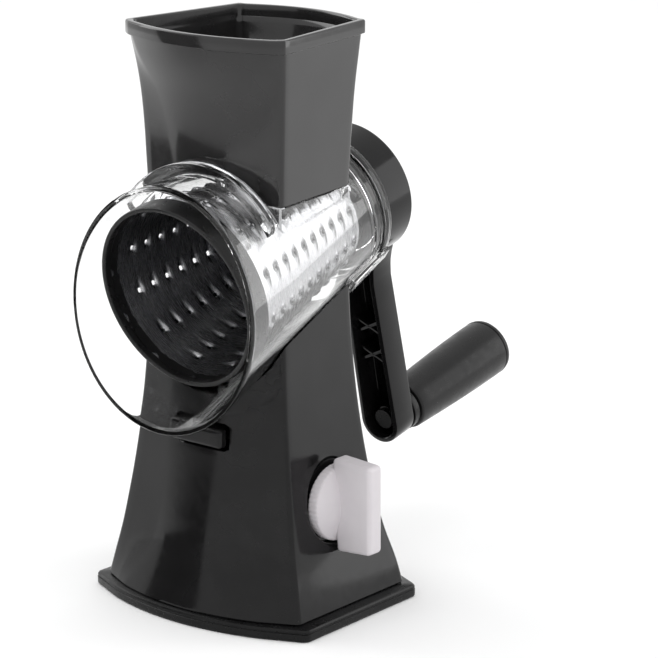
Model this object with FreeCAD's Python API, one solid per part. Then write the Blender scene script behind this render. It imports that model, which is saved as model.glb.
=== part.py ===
"""Hand-cranked rotary cheese grater.

Frame: +Z up, -Y is the front (the barrel's mouth), +Y the crank side, +X the side with the
suction knob.  The origin is the centre of the underside.  Millimetres throughout.

The barrel, the drum and the crank turn about one axis, which leans down towards the front.
Pieces on it are drawn upright along Z and then laid on the axis by on_axis(): local Z becomes
the distance s behind the axis's zero point, local X stays X, and local -Y points up.
"""

import FreeCAD, Part

import math
import os

V = FreeCAD.Vector

# ---- driving dimensions ---------------------------------------------------------------
HEIGHT = 270.0            # table to hopper rim
WALL = 2.5                # moulded plastic wall
RUN = 0.05                # radial running clearance of a shaft in its bore
GAP = 0.4                 # air between neighbouring moving pieces

# barrel axis
AXIS_TILT = 13.0          # degrees the axis drops towards the mouth
AXIS_Z = 164.4            # its height above the origin

# clear barrel: distances s along the axis, radii across it
BARREL_WALL = 2.2
MOUTH_S, MOUTH_R = -66.0, 54.0
REAR_S, REAR_R = 57.5, 33.6
MOUTH_Y = -64.0           # plane of the mouth
MOUTH_LEAN = 2.0          # degrees the mouth's plane leans over the front

# grating drum
RING_S, RING_LEN, RING_R = -56.0, 12.0, 43.6
CONE_END_S, CONE_END_R = 41.0, 27.3
STEEL = 0.6
TOOTH_ROWS, TEETH_PER_ROW = 12, 10
HOLE_R = 1.5

# crank
CUP_S, CUP_LEN, CUP_R = 59.0, 18.0, 32.5
ARM_S, ARM_T, ARM_W = 66.0, 15.0, 22.0
HUB_R, THROW = 14.0, 121.5
# distance down the arm and half-width there: it flares out to meet the cup
ARM_FLARE = [(30.0, HUB_R), (34.0, 12.4), (39.0, 10.9), (46.0, 9.9)]
POCKET_WALL = 2.6
GRIP_R, GRIP_MID_R, GRIP_END_R, GRIP_LEN = 12.4, 14.0, 14.6, 76.0
COLLAR_LEN = 4.0

# suction foot and knob
PLATE_T = 6.0
PLATE_X, PLATE_BACK_X, PLATE_Y, PLATE_BULGE = 64.9, 63.5, 40.6, 17.0
SHELL_Z = 6.3             # underside of the tower, above the dark groove
PAD_R = 43.0
KNOB_Z = 53.5
KNOB_DISC_R = 17.8
LIFT = 4.0                # travel of the pull stud over a quarter turn of the knob
SHAFT_R = 5.0
CAM_LOW = 8.0

# tower cross-sections: height, front half-width, front corner depth, rear half-width,
# half-width of the centre panel, depth of its creases, depth of its middle
TOWER = [
    (SHELL_Z, 58.6, 38.8, 57.4, 41.6, 47.4, 55.0),
    (18.0, 55.9, 37.4, 54.4, 33.8, 44.4, 50.0),
    (31.0, 53.0, 35.6, 49.6, 27.0, 41.6, 45.6),
    (46.0, 50.4, 33.8, 45.4, 23.8, 39.6, 42.6),
    (61.0, 48.0, 32.2, 42.4, 22.2, 37.8, 40.2),
    (95.0, 43.6, 29.8, 37.2, 21.0, 34.8, 36.4),
    (124.0, 41.8, 28.8, 34.4, 21.0, 33.0, 34.2),
    (160.0, 40.8, 28.4, 32.6, 21.0, 32.4, 33.4),
]
HOPPER_Z = 194.0
HOPPER = [
    (176.0, 40.4, 28.0, 32.6, 19.6, 30.6, 32.2),
    (HOPPER_Z, 40.5, 28.2, 33.0, 19.6, 30.8, 32.4),
    (208.0, 41.0, 28.6, 33.8, 21.2, 31.2, 33.0),
    (222.0, 41.6, 28.9, 34.6, 23.5, 31.8, 34.2),
    (240.0, 42.8, 29.8, 35.6, 28.6, 33.6, 37.8),
    (256.0, 44.6, 31.4, 36.6, 38.0, 35.4, 42.8),
    (265.0, 45.9, 32.6, 37.0, 42.0, 35.6, 45.0),
]
RIM_T = 6.0
RIM = (47.0, 33.9, 37.8, 42.0, 37.4, 46.6)
RIM_BACK = 0.908          # the rim's rear bows out a little less than its front

# ---- helpers --------------------------------------------------------------------------
AXIS_DIR = V(0, math.cos(math.radians(AXIS_TILT)), math.sin(math.radians(AXIS_TILT)))
AXIS_UP = V(0, -math.sin(math.radians(AXIS_TILT)), math.cos(math.radians(AXIS_TILT)))
AXIS_PLACE = FreeCAD.Placement(V(0, 0, AXIS_Z), FreeCAD.Rotation(V(1, 0, 0), AXIS_TILT - 90))


def save(shape, node):
    """Write one node's STEP file."""
    shape.exportStep("parts/" + node + ".step")


def on_axis(shape):
    """Lay a piece drawn along Z on the barrel's slanted axis."""
    placed = shape.copy()
    placed.Placement = AXIS_PLACE.multiply(placed.Placement)
    return placed


def axis_point(s, up=0.0):
    """The point a distance s behind the axis's zero, and up away from it."""
    return V(0, 0, AXIS_Z) + AXIS_DIR * s + AXIS_UP * up


def rod(radius, start, end, x=0.0, y=0.0):
    """A cylinder along Z from start to end."""
    return Part.makeCylinder(radius, end - start, V(x, y, start))


def tube(outer, inner, start, end, x=0.0, y=0.0):
    """A ring along Z."""
    return rod(outer, start, end, x, y).cut(rod(inner, start - 1, end + 1, x, y))


def rod_x(radius, start, end, y, z):
    """A cylinder along X from start to end."""
    return Part.makeCylinder(radius, end - start, V(start, y, z), V(1, 0, 0))


def box(x0, x1, y0, y1, z0, z1):
    """A block between two corners."""
    return Part.makeBox(x1 - x0, y1 - y0, z1 - z0, V(x0, y0, z0))


def turned(points):
    """Spin a closed outline of (radius, z) points about Z."""
    wire = Part.makePolygon([V(r, 0, z) for r, z in points + points[:1]])
    return Part.Face(wire).revolve(V(0, 0, 0), V(0, 0, 1), 360)


def barrel_r(s):
    """Outer radius of the clear barrel at distance s."""
    return MOUTH_R + (REAR_R - MOUTH_R) * (s - MOUTH_S) / (REAR_S - MOUTH_S)


def barrel_cone(grow, start, end):
    """The barrel's outer cone grown by a distance, laid on the axis."""
    cone = Part.makeCone(barrel_r(start) + grow, barrel_r(end) + grow, end - start, V(0, 0, start))
    return on_axis(cone)


def outline(z, wf, d, wb, w1, crease, middle, back=1.0):
    """Plan section: straight sides, and a front and a back of a bowed panel between two creases.

    The back repeats the front, drawn in by the ratio of the two half-widths.
    """
    wr = w1 * wb / wf
    front = [V(-wf, -d, z), V(-w1, -crease, z), V(0, -middle, z), V(w1, -crease, z), V(wf, -d, z)]
    rear = [V(wb, d, z), V(wr, crease * back, z), V(0, middle * back, z), V(-wr, crease * back, z), V(-wb, d, z)]
    edges = []
    for left, near, top, far, right in (front, rear):
        edges.append(Part.makeLine(left, near))
        edges.append(Part.Arc(near, top, far).toShape())
        edges.append(Part.makeLine(far, right))
        corner = rear[0] if right == front[4] else front[0]
        edges.append(Part.makeLine(right, corner))
    return Part.Wire(edges)


def shrunk(section, t):
    """The same plan section drawn in by a wall thickness."""
    z, wf, d, wb, w1, crease, middle = section
    return (z, wf - t, d - t, wb - t, w1 - 0.4 * t, crease - t, middle - t)


def lofted(sections, t=0.0, back=1.0):
    """A solid through plan sections, optionally drawn in."""
    wires = [outline(*shrunk(section, t), back) for section in sections]
    return Part.makeLoft(wires, True, False)


def prism(section, z0, z1, t=0.0, back=1.0):
    """A straight-sided slab of one plan section."""
    wire = outline(*shrunk((z0,) + section, t), back)
    return Part.Face(wire).extrude(V(0, 0, z1 - z0))


# ---- suction foot ---------------------------------------------------------------------
SCREW_X, SCREW_Y = 45.0, 28.0
WELL_R, WEB_Z, WEB_T = 24.0, 11.5, 3.0
PLATE = (PLATE_X, PLATE_Y, PLATE_BACK_X, 44.0, 50.0, PLATE_Y + PLATE_BULGE)


def corner_spots(x, y):
    """The four mirrored places of a fastener."""
    return [(sx * x, sy * y) for sx in (-1, 1) for sy in (-1, 1)]


def base_plate():
    """Foot of the stand: a rim that shows, a spigot inside the tower, and a domed web."""
    plate = prism(PLATE, 0, PLATE_T)
    plate = plate.fuse(prism(PLATE, PLATE_T, PLATE_T + 5.5, 11.5))
    plate = plate.fuse(rod(WELL_R + WALL, PLATE_T, WEB_Z + WEB_T))
    plate = plate.cut(rod(PAD_R + 1, -1, 4))
    plate = plate.cut(rod(WELL_R, 0, WEB_Z))
    plate = plate.cut(rod(4 + RUN, 0, WEB_Z + WEB_T + 1))
    for x, y in corner_spots(SCREW_X, SCREW_Y):
        plate = plate.cut(rod(4.0, -1, 3.5, x, y))
        plate = plate.cut(rod(1.8, 0, 20, x, y))
    for side in (-1, 1):
        plate = plate.cut(rod(1.4, WEB_Z - 1, 20, side * 19.0, 0))
    return plate


def suction_pad():
    """Soft disc under the plate, thin in the middle where the stud pulls it."""
    return turned([(0, 0), (PAD_R, 0), (PAD_R, 2.0), (PAD_R - 1.5, 4.0), (WELL_R + 1, 4.0),
                   (WELL_R - 2, 2.5), (0, 2.5)])


def cap_screw(head_r, head_h, shank_r, length):
    """A pan-head screw pointing up from its head, with a cross recess."""
    screw = rod(head_r, 0, head_h).fuse(rod(shank_r, head_h, head_h + length))
    for turn in (0, 90):
        slot = box(-head_r * 0.6, head_r * 0.6, -0.45, 0.45, -1, head_h * 0.45)
        slot.rotate(V(0, 0, 0), V(0, 0, 1), turn)
        screw = screw.cut(slot)
    return screw


def base_screws():
    """Four screws that hold the plate to the tower."""
    screws = []
    for x, y in corner_spots(SCREW_X, SCREW_Y):
        screw = cap_screw(3.6, 2.4, 1.7, 15.0)
        screw.translate(V(x, y, 1.1))
        screws.append(screw)
    return Part.makeCompound(screws)


# ---- tower ----------------------------------------------------------------------------
LATCH_Z = 85.5
SLOT_X, SLOT_Z0, SLOT_Z1 = 15.6, 79.2, 91.6
RECESS_X = 44.0
FOOT_Y0, FOOT_Y1, FOOT_X = -19.0, -14.5, 7.0


def base_shell():
    """The hollow waisted tower with a saddle for the barrel on top."""
    above = box(-80, 80, -80, 80, AXIS_Z - 4, 260)
    reach = (-110.0, 90.0)
    outer = lofted(TOWER).cut(barrel_cone(0.3, *reach)).cut(above)
    inner = lofted(TOWER, WALL).cut(barrel_cone(0.3 + WALL, *reach)).cut(above)
    shell = outer.cut(inner)
    # bosses for the foot's screws, tied to the side walls
    bosses = []
    for x, y in corner_spots(SCREW_X, SCREW_Y):
        boss = rod(4.4, PLATE_T + 5.5, 24, x, y)
        side = 1 if x > 0 else -1
        rib = box(min(x, x + side * 12), max(x, x + side * 12), y - 1.2, y + 1.2, PLATE_T + 5.5, 24)
        bosses.append(boss.fuse(rib).common(lofted(TOWER, 0.5)))
    for boss in bosses:
        shell = shell.fuse(boss)
    for x, y in corner_spots(SCREW_X, SCREW_Y):
        shell = shell.cut(rod(1.72, 9, 19.5, x, y))
    # the knob's recess, with a boss behind it for the bush
    back = rod_x(KNOB_DISC_R + 4.0, RECESS_X - 6.0, 60, 0, KNOB_Z).common(lofted(TOWER, 0.5))
    shell = shell.fuse(back)
    shell = shell.cut(rod_x(KNOB_DISC_R + 1.4, RECESS_X, 70, 0, KNOB_Z))
    shell = shell.cut(rod_x(8.0, 20, 60, 0, KNOB_Z))
    # the release latch's window and the slot that takes the barrel's tab
    shell = shell.cut(box(-SLOT_X, SLOT_X, -60, -26, SLOT_Z0, SLOT_Z1))
    shell = shell.cut(box(-FOOT_X - 0.5, FOOT_X + 0.5, FOOT_Y0 - 0.5, FOOT_Y1 + 0.5, 88, 140))
    # two ears inside carry the latch's pin
    for side in (-1, 1):
        ear = box(side * 11.0 - 1.25, side * 11.0 + 1.25, -40, -20, LATCH_PIN_Z - 4.5, SLOT_Z0)
        ear = ear.fuse(box(side * 11.0 - 1.25, side * 11.0 + 1.25, -27, -20, SLOT_Z0, LATCH_PIN_Z + 3))
        ear = ear.common(lofted(TOWER, 0.5))
        ear = ear.cut(rod_x(1.5, -20, 20, LATCH_PIN_Y, LATCH_PIN_Z))
        shell = shell.fuse(ear)
    return shell.removeSplitter()


LATCH_PIN_Y, LATCH_PIN_Z = -23.5, 83.0


def release_latch():
    """Rocking latch: a paddle in front, a pivot eye, and a hook up to the barrel's tab."""
    paddle = box(-15.0, 15.0, -42.0, -36.5, 81.2, 90.2)
    paddle = paddle.makeFillet(1.6, [e for e in paddle.Edges if e.CenterOfMass.y < -41.0])
    neck = box(-8.5, 8.5, -37.0, -25.0, 82.0, 86.5)
    eye = rod_x(3.4, -8.5, 8.5, LATCH_PIN_Y, LATCH_PIN_Z)
    arm = box(-4.5, 4.5, -25.8, -22.6, LATCH_PIN_Z, 98.0)
    barb = box(-4.5, 4.5, -23.0, FOOT_Y0 + 1.2, 94.4, 97.0)
    latch = paddle.fuse([neck, eye, arm, barb])
    return latch.cut(rod_x(1.5 + RUN, -20, 20, LATCH_PIN_Y, LATCH_PIN_Z)).removeSplitter()


def latch_pin():
    """Pivot of the latch, held in the tower's two ears."""
    return rod_x(1.5, -12.25, 12.25, LATCH_PIN_Y, LATCH_PIN_Z)


def coil(radius, wire, z0, z1, turns, x=0.0, y=0.0):
    """A coil spring: a round wire swept along a helix, its ends left square."""
    pitch = (z1 - z0 - wire) / turns
    path = Part.makeHelix(pitch, z1 - z0 - wire, radius)
    ring = Part.Wire(Part.Circle(V(radius, 0, 0), V(0, 1, 0), wire / 2).toShape())
    spring = Part.Wire(path).makePipeShell([ring], True, True)
    spring.translate(V(x, y, z0 + wire / 2))
    return spring


# ---- suction mechanism ----------------------------------------------------------------
BRACKET_X, BRACKET_T, BRIDGE_Z = 13.0, 3.0, 86.0
YOKE_Y, YOKE_T = 13.2, 3.4
YOKE_TOP, YOKE_BAR = KNOB_Z + CAM_LOW + 3.0, 4.0


def cam_bracket():
    """Frame on the plate that carries the cam's shaft and backs the return spring."""
    foot_z = WEB_Z + WEB_T
    frame = box(-BRACKET_X - BRACKET_T, BRACKET_X + BRACKET_T, -12, 12, foot_z, BRIDGE_Z + BRACKET_T)
    frame = frame.cut(box(-BRACKET_X, BRACKET_X, -13, 13, foot_z + BRACKET_T, BRIDGE_Z))
    feet = box(-22.5, 22.5, -5, 5, foot_z, foot_z + BRACKET_T)
    frame = frame.fuse(feet)
    frame = frame.cut(rod(6.0, 0, 30))
    for side in (-1, 1):
        frame = frame.cut(rod(1.6, 0, 30, side * 19.0, 0))
    frame = frame.cut(rod_x(SHAFT_R + RUN, -30, 30, 0, KNOB_Z))
    return frame.removeSplitter()


def bracket_screws():
    """Two screws that hold the bracket down on the plate."""
    screws = []
    for side in (-1, 1):
        screw = cap_screw(2.6, 1.8, 1.4, 5.2)
        screw.rotate(V(0, 0, 0), V(1, 0, 0), 180)
        screw.translate(V(side * 19.0, 0, WEB_Z + WEB_T + BRACKET_T + 1.8))
        screws.append(screw)
    return Part.makeCompound(screws)


def cam_shaft():
    """Shaft from the bracket out to the knob."""
    shaft = rod_x(SHAFT_R, -19.0, 52.0, 0, KNOB_Z)
    return shaft.cut(tube(8, SHAFT_R - 1.0, -18.2, -17.0).rotate(V(0, 0, 0), V(0, 1, 0), 90)
                     .translate(V(0, 0, KNOB_Z)))


def shaft_clip():
    """Snap ring in the shaft's groove, outside the bracket."""
    ring = tube(7.4, SHAFT_R - 1.0, -18.15, -17.05)
    ring = ring.cut(box(-2.2, 2.2, 0, 10, -20, -16))
    ring.rotate(V(0, 0, 0), V(0, 1, 0), 90)
    ring.translate(V(0, 0, KNOB_Z))
    return ring


def shaft_bush():
    """Bush in the tower's wall for the knob's shaft."""
    bush = rod_x(8.0, RECESS_X - 6.0, RECESS_X, 0, KNOB_Z)
    bush = bush.fuse(rod_x(10.0, RECESS_X - 7.5, RECESS_X - 6.0, 0, KNOB_Z))
    return bush.cut(rod_x(SHAFT_R + RUN, 0, 60, 0, KNOB_Z))


def cam_radius(turn):
    """Spiral cam: radius rises evenly over the quarter turn, dwells, and falls back."""
    if turn <= 90:
        return CAM_LOW + LIFT * turn / 90
    if turn <= 120:
        return CAM_LOW + LIFT
    if turn <= 200:
        return CAM_LOW + LIFT * (200 - turn) / 80
    return CAM_LOW


def suction_cam():
    """Cam on the shaft; its rise runs from straight up round to the rear."""
    points = []
    for turn in range(0, 360, 6):
        angle = math.radians(90 - turn)
        radius = cam_radius(turn)
        points.append(V(0, radius * math.cos(angle), KNOB_Z + radius * math.sin(angle)))
    wire = Part.makePolygon(points + points[:1])
    cam = Part.Face(wire).extrude(V(8, 0, 0))
    cam.translate(V(-4, 0, 0))
    return cam.cut(rod_x(SHAFT_R, -10, 10, 0, KNOB_Z))


def pull_stud():
    """Stud with a yoke round the cam and a flange over the pad."""
    stud = rod(15.0, 2.8, 5.0).fuse(rod(4.0, 4.0, 36.0))
    yoke = box(-3, 3, -YOKE_Y - YOKE_T, YOKE_Y + YOKE_T, 34.0, YOKE_TOP + YOKE_BAR)
    yoke = yoke.cut(box(-5, 5, -YOKE_Y, YOKE_Y, 38.0, YOKE_TOP))
    return stud.fuse(yoke).removeSplitter()


def cam_follower():
    """Hard shoe under the yoke's top bar, riding on the cam."""
    shoe = box(-3, 3, -1.2, 1.2, KNOB_Z + CAM_LOW + 0.6, YOKE_TOP)
    return shoe


def return_spring():
    """Spring that pushes the yoke down when the cam lets go."""
    return coil(5.5, 1.3, YOKE_TOP + YOKE_BAR + 0.1, BRIDGE_Z - 0.1, 4)


def suction_knob():
    """Round domed knob with a paddle bar across it."""
    disc = rod(KNOB_DISC_R, 0, 6.0)
    dome = Part.makeSphere(34.0, V(0, 0, -24.0)).common(rod(KNOB_DISC_R, 6.0, 12.0))
    bar = box(-22.0, 22.0, -5.0, 5.0, 6.5, 26.0)
    bar = bar.makeFillet(4.0, [e for e in bar.Edges if e.Length > 40 and e.CenterOfMass.z > 20])
    knob = disc.fuse(dome).fuse(bar)
    ribs = []
    count = 48
    for i in range(count):
        angle = 2 * math.pi * i / count
        ribs.append(rod(0.55, -1, 6.01, KNOB_DISC_R * math.cos(angle), KNOB_DISC_R * math.sin(angle)))
    knob = knob.cut(Part.makeCompound(ribs))
    knob.rotate(V(0, 0, 0), V(0, 1, 0), 90)
    knob.translate(V(RECESS_X + 1.5, 0, KNOB_Z))
    return knob.cut(rod_x(SHAFT_R, 0, 52.0, 0, KNOB_Z))


# ---- barrel and hopper ----------------------------------------------------------------
BEARING_R = 9.0
NECK = (40.5, 28.2, 33.0, 19.6, 30.8, 32.4)
# thick clear arch over the barrel, in front of the hopper
ARCH_Y0, ARCH_Y1, ARCH_Z, ARCH_RISE = -38.5, -33.4, AXIS_Z + 18.5, 6.0
LUG_S, LUG_TURN, LUG_HALF, LUG_RISE = 24.6, 37.0, 3.6, 3.2


def barrel_housing():
    """Clear conical barrel, open at the mouth, with a neck for the hopper and a rear bearing."""
    outer = barrel_cone(0.0, MOUTH_S - 20, REAR_S)
    inner = barrel_cone(-BARREL_WALL, MOUTH_S - 30, REAR_S - BARREL_WALL)
    # neck under the hopper: its walls stand on the barrel
    neck = prism(NECK, 150, HOPPER_Z, 0, RIM_BACK)
    neck_hole = prism(NECK, 140, HOPPER_Z + 20, BARREL_WALL, RIM_BACK)
    slab = box(-80, 80, ARCH_Y0, ARCH_Y1, ARCH_Z, HEIGHT)
    arch = barrel_cone(ARCH_RISE, MOUTH_S, REAR_S).common(slab)
    lip = barrel_cone(1.6, REAR_S - 6.0, REAR_S)
    # two lugs that bear on the tower's rear corners
    lugs = []
    for turn in (LUG_TURN, 180 - LUG_TURN):
        wedge = box(20, 60, -LUG_HALF, LUG_HALF, LUG_S, REAR_S)
        wedge.rotate(V(0, 0, 0), V(0, 0, 1), turn)
        lugs.append(barrel_cone(LUG_RISE, LUG_S - 1, REAR_S).common(on_axis(wedge)))
    upper = box(-80, 80, -80, 80, AXIS_Z, 300)
    shell = outer.fuse(neck).fuse(arch).fuse(lip).fuse(lugs[0]).fuse(lugs[1])
    tab = box(-FOOT_X, FOOT_X, FOOT_Y0, FOOT_Y1, 92.0, 130.0)
    shell = shell.fuse(tab)
    shell = shell.cut(inner)
    shell = shell.cut(neck_hole.common(upper))
    shell = shell.cut(box(-5.0, 5.0, FOOT_Y0 - 1, FOOT_Y1 + 1, 93.8, 97.6))
    # mouth
    front = box(-90, 90, -60, 0, -120, 120)
    front.rotate(V(0, 0, 0), V(1, 0, 0), -MOUTH_LEAN)
    front.translate(V(0, MOUTH_Y, AXIS_Z - 15))
    shell = shell.cut(front)
    # rear bearing
    seat = on_axis(tube(BEARING_R + 3.0, BEARING_R, REAR_S - 9.0, REAR_S))
    shell = shell.fuse(seat)
    shell = shell.cut(on_axis(rod(BEARING_R, REAR_S - 20, REAR_S + 10)))
    return shell.removeSplitter()


def hopper():
    """Feed hopper with a bowed front, flaring to a rim."""
    outer = lofted(HOPPER, 0, RIM_BACK)
    inner = lofted(HOPPER, 2.2, RIM_BACK)
    rim = prism(RIM, HEIGHT - RIM_T, HEIGHT, 0, RIM_BACK)
    hole = prism(RIM, HEIGHT - RIM_T - 1, HEIGHT + 1, 3.0, RIM_BACK)
    body = outer.cut(inner).fuse(rim.cut(hole))
    low = box(-80, 80, -80, 80, 100, HOPPER_Z)
    return body.cut(low).cut(barrel_cone(0.0, -90, 80)).removeSplitter()


def barrel_bush():
    """Bearing bush in the barrel's rear wall."""
    bush = tube(BEARING_R, SPINDLE_R + RUN, REAR_S - 10.0, REAR_S)
    return on_axis(bush)


# ---- drum -----------------------------------------------------------------------------
SPINDLE_R = 6.0
SOCKET_S = CONE_END_S - 9.0
HUB_BACK = 9.5            # from the barrel's rear wall forward to the back of the hub


def drum_r(s):
    """Outer radius of the steel cone at distance s."""
    start = RING_S + RING_LEN
    r0 = RING_R - 1.6
    return r0 + (CONE_END_R - r0) * (s - start) / (CONE_END_S - start)


def drum_cone():
    """Rolled steel cone with rows of cutting holes."""
    start = RING_S + 3.0
    outer = Part.makeCone(drum_r(start), CONE_END_R, CONE_END_S - start, V(0, 0, start))
    inner = Part.makeCone(drum_r(start) - STEEL, CONE_END_R - STEEL, CONE_END_S - start, V(0, 0, start))
    cone = outer.cut(inner)
    first = RING_S + RING_LEN + 6.0
    pitch = (CONE_END_S - 5.0 - first) / (TEETH_PER_ROW - 1)
    holes = []
    for row in range(TOOTH_ROWS):
        angle = 2 * math.pi * (row + 0.5) / TOOTH_ROWS
        out = V(math.cos(angle), math.sin(angle), 0)
        for i in range(TEETH_PER_ROW):
            s = first + pitch * i
            holes.append(Part.makeCylinder(HOLE_R, 8, V(0, 0, s) + out * (drum_r(s) - 4), out))
    return on_axis(cone.cut(Part.makeCompound(holes)))


def drum_front_ring():
    """Moulded ring that stiffens the drum's open end."""
    end = RING_S + RING_LEN
    ring = turned([(drum_r(RING_S + 3) , RING_S + 3), (drum_r(end), end), (RING_R - 0.4, end),
                   (RING_R, end - 1), (RING_R, RING_S + 1), (RING_R - 1, RING_S),
                   (drum_r(RING_S) - 2.6, RING_S), (drum_r(RING_S) - 2.6, RING_S + 3)])
    return on_axis(ring)


def drum_hub():
    """Rear hub: a collar with windows, closed by a disc with a hexagonal socket."""
    top = REAR_S - BARREL_WALL - HUB_BACK
    hub = turned([(CONE_END_R - STEEL - 2.0, CONE_END_S - 10), (CONE_END_R - STEEL, CONE_END_S - 10),
                  (CONE_END_R - STEEL, CONE_END_S), (CONE_END_R - 0.5, CONE_END_S),
                  (CONE_END_R - 2.0, top), (0, top), (0, top - 2.5), (CONE_END_R - STEEL - 2.0, top - 2.5)])
    hub = hub.fuse(rod(10.5, SOCKET_S - 2.5, top))
    socket = hexagon(SPINDLE_R - 0.9 + RUN, SOCKET_S, REAR_S)
    hub = hub.cut(socket)
    for i in range(6):
        window = box(14.0, 21.0, -3.0, 3.0, 0, REAR_S)
        window.rotate(V(0, 0, 0), V(0, 0, 1), 60 * i + 30)
        hub = hub.cut(window.common(box(-60, 60, -60, 60, CONE_END_S - 2, REAR_S)))
    return on_axis(hub.removeSplitter())


def hexagon(flat_r, z0, z1):
    """A hexagonal prism with the given half-width across flats."""
    r = flat_r / math.cos(math.pi / 6)
    points = [V(r * math.cos(math.pi * i / 3), r * math.sin(math.pi * i / 3), z0) for i in range(7)]
    return Part.Face(Part.makePolygon(points)).extrude(V(0, 0, z1 - z0))


# ---- crank ----------------------------------------------------------------------------
RIB_CENTRES, RIB_TURN = (71.0, 86.0), 65.0
PIN_HEAD_S = 6.0          # from the arm's front face back to the seat of the pin's head


def drive_spindle():
    """Spindle from the cup through the bearing into the drum's socket."""
    r = SPINDLE_R
    back = ARM_S + ARM_T - 4.0
    spindle = hexagon(r - 0.9, SOCKET_S + 0.5, REAR_S - 10.4)
    spindle = spindle.fuse(rod(r, REAR_S - 10.4, back))
    return on_axis(spindle.cut(rod(1.8, back - 14.0, back + 1)))


def crank_cup():
    """Round cup behind the barrel that carries the arm."""
    cup = turned([(SPINDLE_R, CUP_S), (CUP_R - 1.5, CUP_S), (CUP_R, CUP_S + 1.5),
                  (CUP_R, CUP_S + CUP_LEN - 3), (CUP_R - 3, CUP_S + CUP_LEN),
                  (SPINDLE_R, CUP_S + CUP_LEN)])
    seat = arm_slab(0, ARM_S, CUP_S + CUP_LEN + 1)
    return on_axis(cup.cut(seat))


def arm_slab(inset, z0, z1):
    """The arm's plan, drawn in: a round hub, a flare narrowing below the cup, and a round end."""
    hub, end = HUB_R - inset, ARM_W / 2 - inset
    side = [(hub, 0.0)] + [(half - inset, down) for down, half in ARM_FLARE] + [(end, THROW)]
    right = [V(x, y, z0) for x, y in side]
    left = [V(-x, y, z0) for x, y in side[::-1]]
    edges = [Part.Arc(left[-1], V(0, -hub, z0), right[0]).toShape()]
    edges += [Part.makeLine(a, b) for a, b in zip(right, right[1:])]
    edges.append(Part.Arc(right[-1], V(0, THROW + end, z0), left[0]).toShape())
    edges += [Part.makeLine(a, b) for a, b in zip(left, left[1:])]
    return Part.Face(Part.Wire(edges)).extrude(V(0, 0, z1 - z0))


def crank_arm():
    """Arm down from the cup, hollow at the front with crossed ribs."""
    end = ARM_S + ARM_T
    arm = arm_slab(0, ARM_S, end)
    pocket = arm_slab(POCKET_WALL, ARM_S - 1, end - 3.0)
    pocket = pocket.cut(box(-40, 40, -40, 30, ARM_S - 2, end))
    boss = rod(6.0, ARM_S + PIN_HEAD_S, end, 0, THROW)
    arm = arm.cut(pocket).fuse(boss.common(arm.fuse(boss)))
    ribs = []
    for centre in RIB_CENTRES:
        for turn in (RIB_TURN, -RIB_TURN):
            rib = box(-0.9, 0.9, -18, 18, ARM_S + 3.2, end - 1.0)
            rib.rotate(V(0, 0, 0), V(0, 0, 1), turn)
            rib.translate(V(0, centre, 0))
            ribs.append(rib)
    inside = arm_slab(1.5, ARM_S, end)
    for rib in ribs:
        arm = arm.fuse(rib.common(inside))
    arm = arm.cut(rod(3.0, ARM_S - 1, end + 1, 0, THROW))
    arm = arm.cut(rod(SPINDLE_R, ARM_S - 1, end - 4.0)).cut(rod(10.0, end - 4.0, end + 1))
    return on_axis(arm.removeSplitter())


def spindle_screw():
    """Screw and washer that draw the arm onto the spindle."""
    back = ARM_S + ARM_T - 4.0
    screw = cap_screw(4.0, 2.2, 1.8, 12.0)
    screw.rotate(V(0, 0, 0), V(1, 0, 0), 180)
    screw.translate(V(0, 0, back + 2.2))
    return on_axis(screw)


def hub_cap():
    """Round cap pressed into the arm over the screw."""
    end = ARM_S + ARM_T
    return on_axis(turned([(8.0, end - 4.0), (10.0, end - 4.0), (10.0, end), (7.0, end + 1.0),
                           (0, end + 1.2), (0, end - 0.8), (8.0, end - 1.2)]))


def grip_pin():
    """Pin the grip turns on, headed inside the arm."""
    end = ARM_S + ARM_T
    pin = rod(3.0, ARM_S + PIN_HEAD_S, end + GRIP_LEN - 8.0, 0, THROW)
    return on_axis(pin.fuse(rod(5.0, ARM_S + PIN_HEAD_S - 2.4, ARM_S + PIN_HEAD_S, 0, THROW)))


def grip_collar():
    """Washer between the arm and the grip."""
    end = ARM_S + ARM_T
    return on_axis(tube(GRIP_R - 0.2, 3.0, end, end + COLLAR_LEN, 0, THROW))


def grip_sleeve():
    """Turning grip, slightly fuller towards its end."""
    start = ARM_S + ARM_T + COLLAR_LEN + GAP
    end = ARM_S + ARM_T + GRIP_LEN - 4.0
    mid = (start + end) / 2
    grip = turned([(0, start), (GRIP_R - 0.8, start), (GRIP_R, start + 1.0), (GRIP_MID_R, mid),
                   (GRIP_END_R, end), (0, end)])
    grip = grip.cut(rod(3.0 + RUN, start - 1, end - 3.0))
    grip.translate(V(0, THROW, 0))
    return on_axis(grip)


def grip_cap():
    """Domed cap that closes the grip."""
    start = ARM_S + ARM_T + GRIP_LEN - 4.0
    cap = turned([(0, start), (GRIP_END_R, start), (GRIP_END_R - 0.5, start + 2.0),
                  (GRIP_END_R - 2.9, start + 3.6),
                  (0, start + 4.2)])
    cap.translate(V(0, THROW, 0))
    return on_axis(cap)


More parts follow.
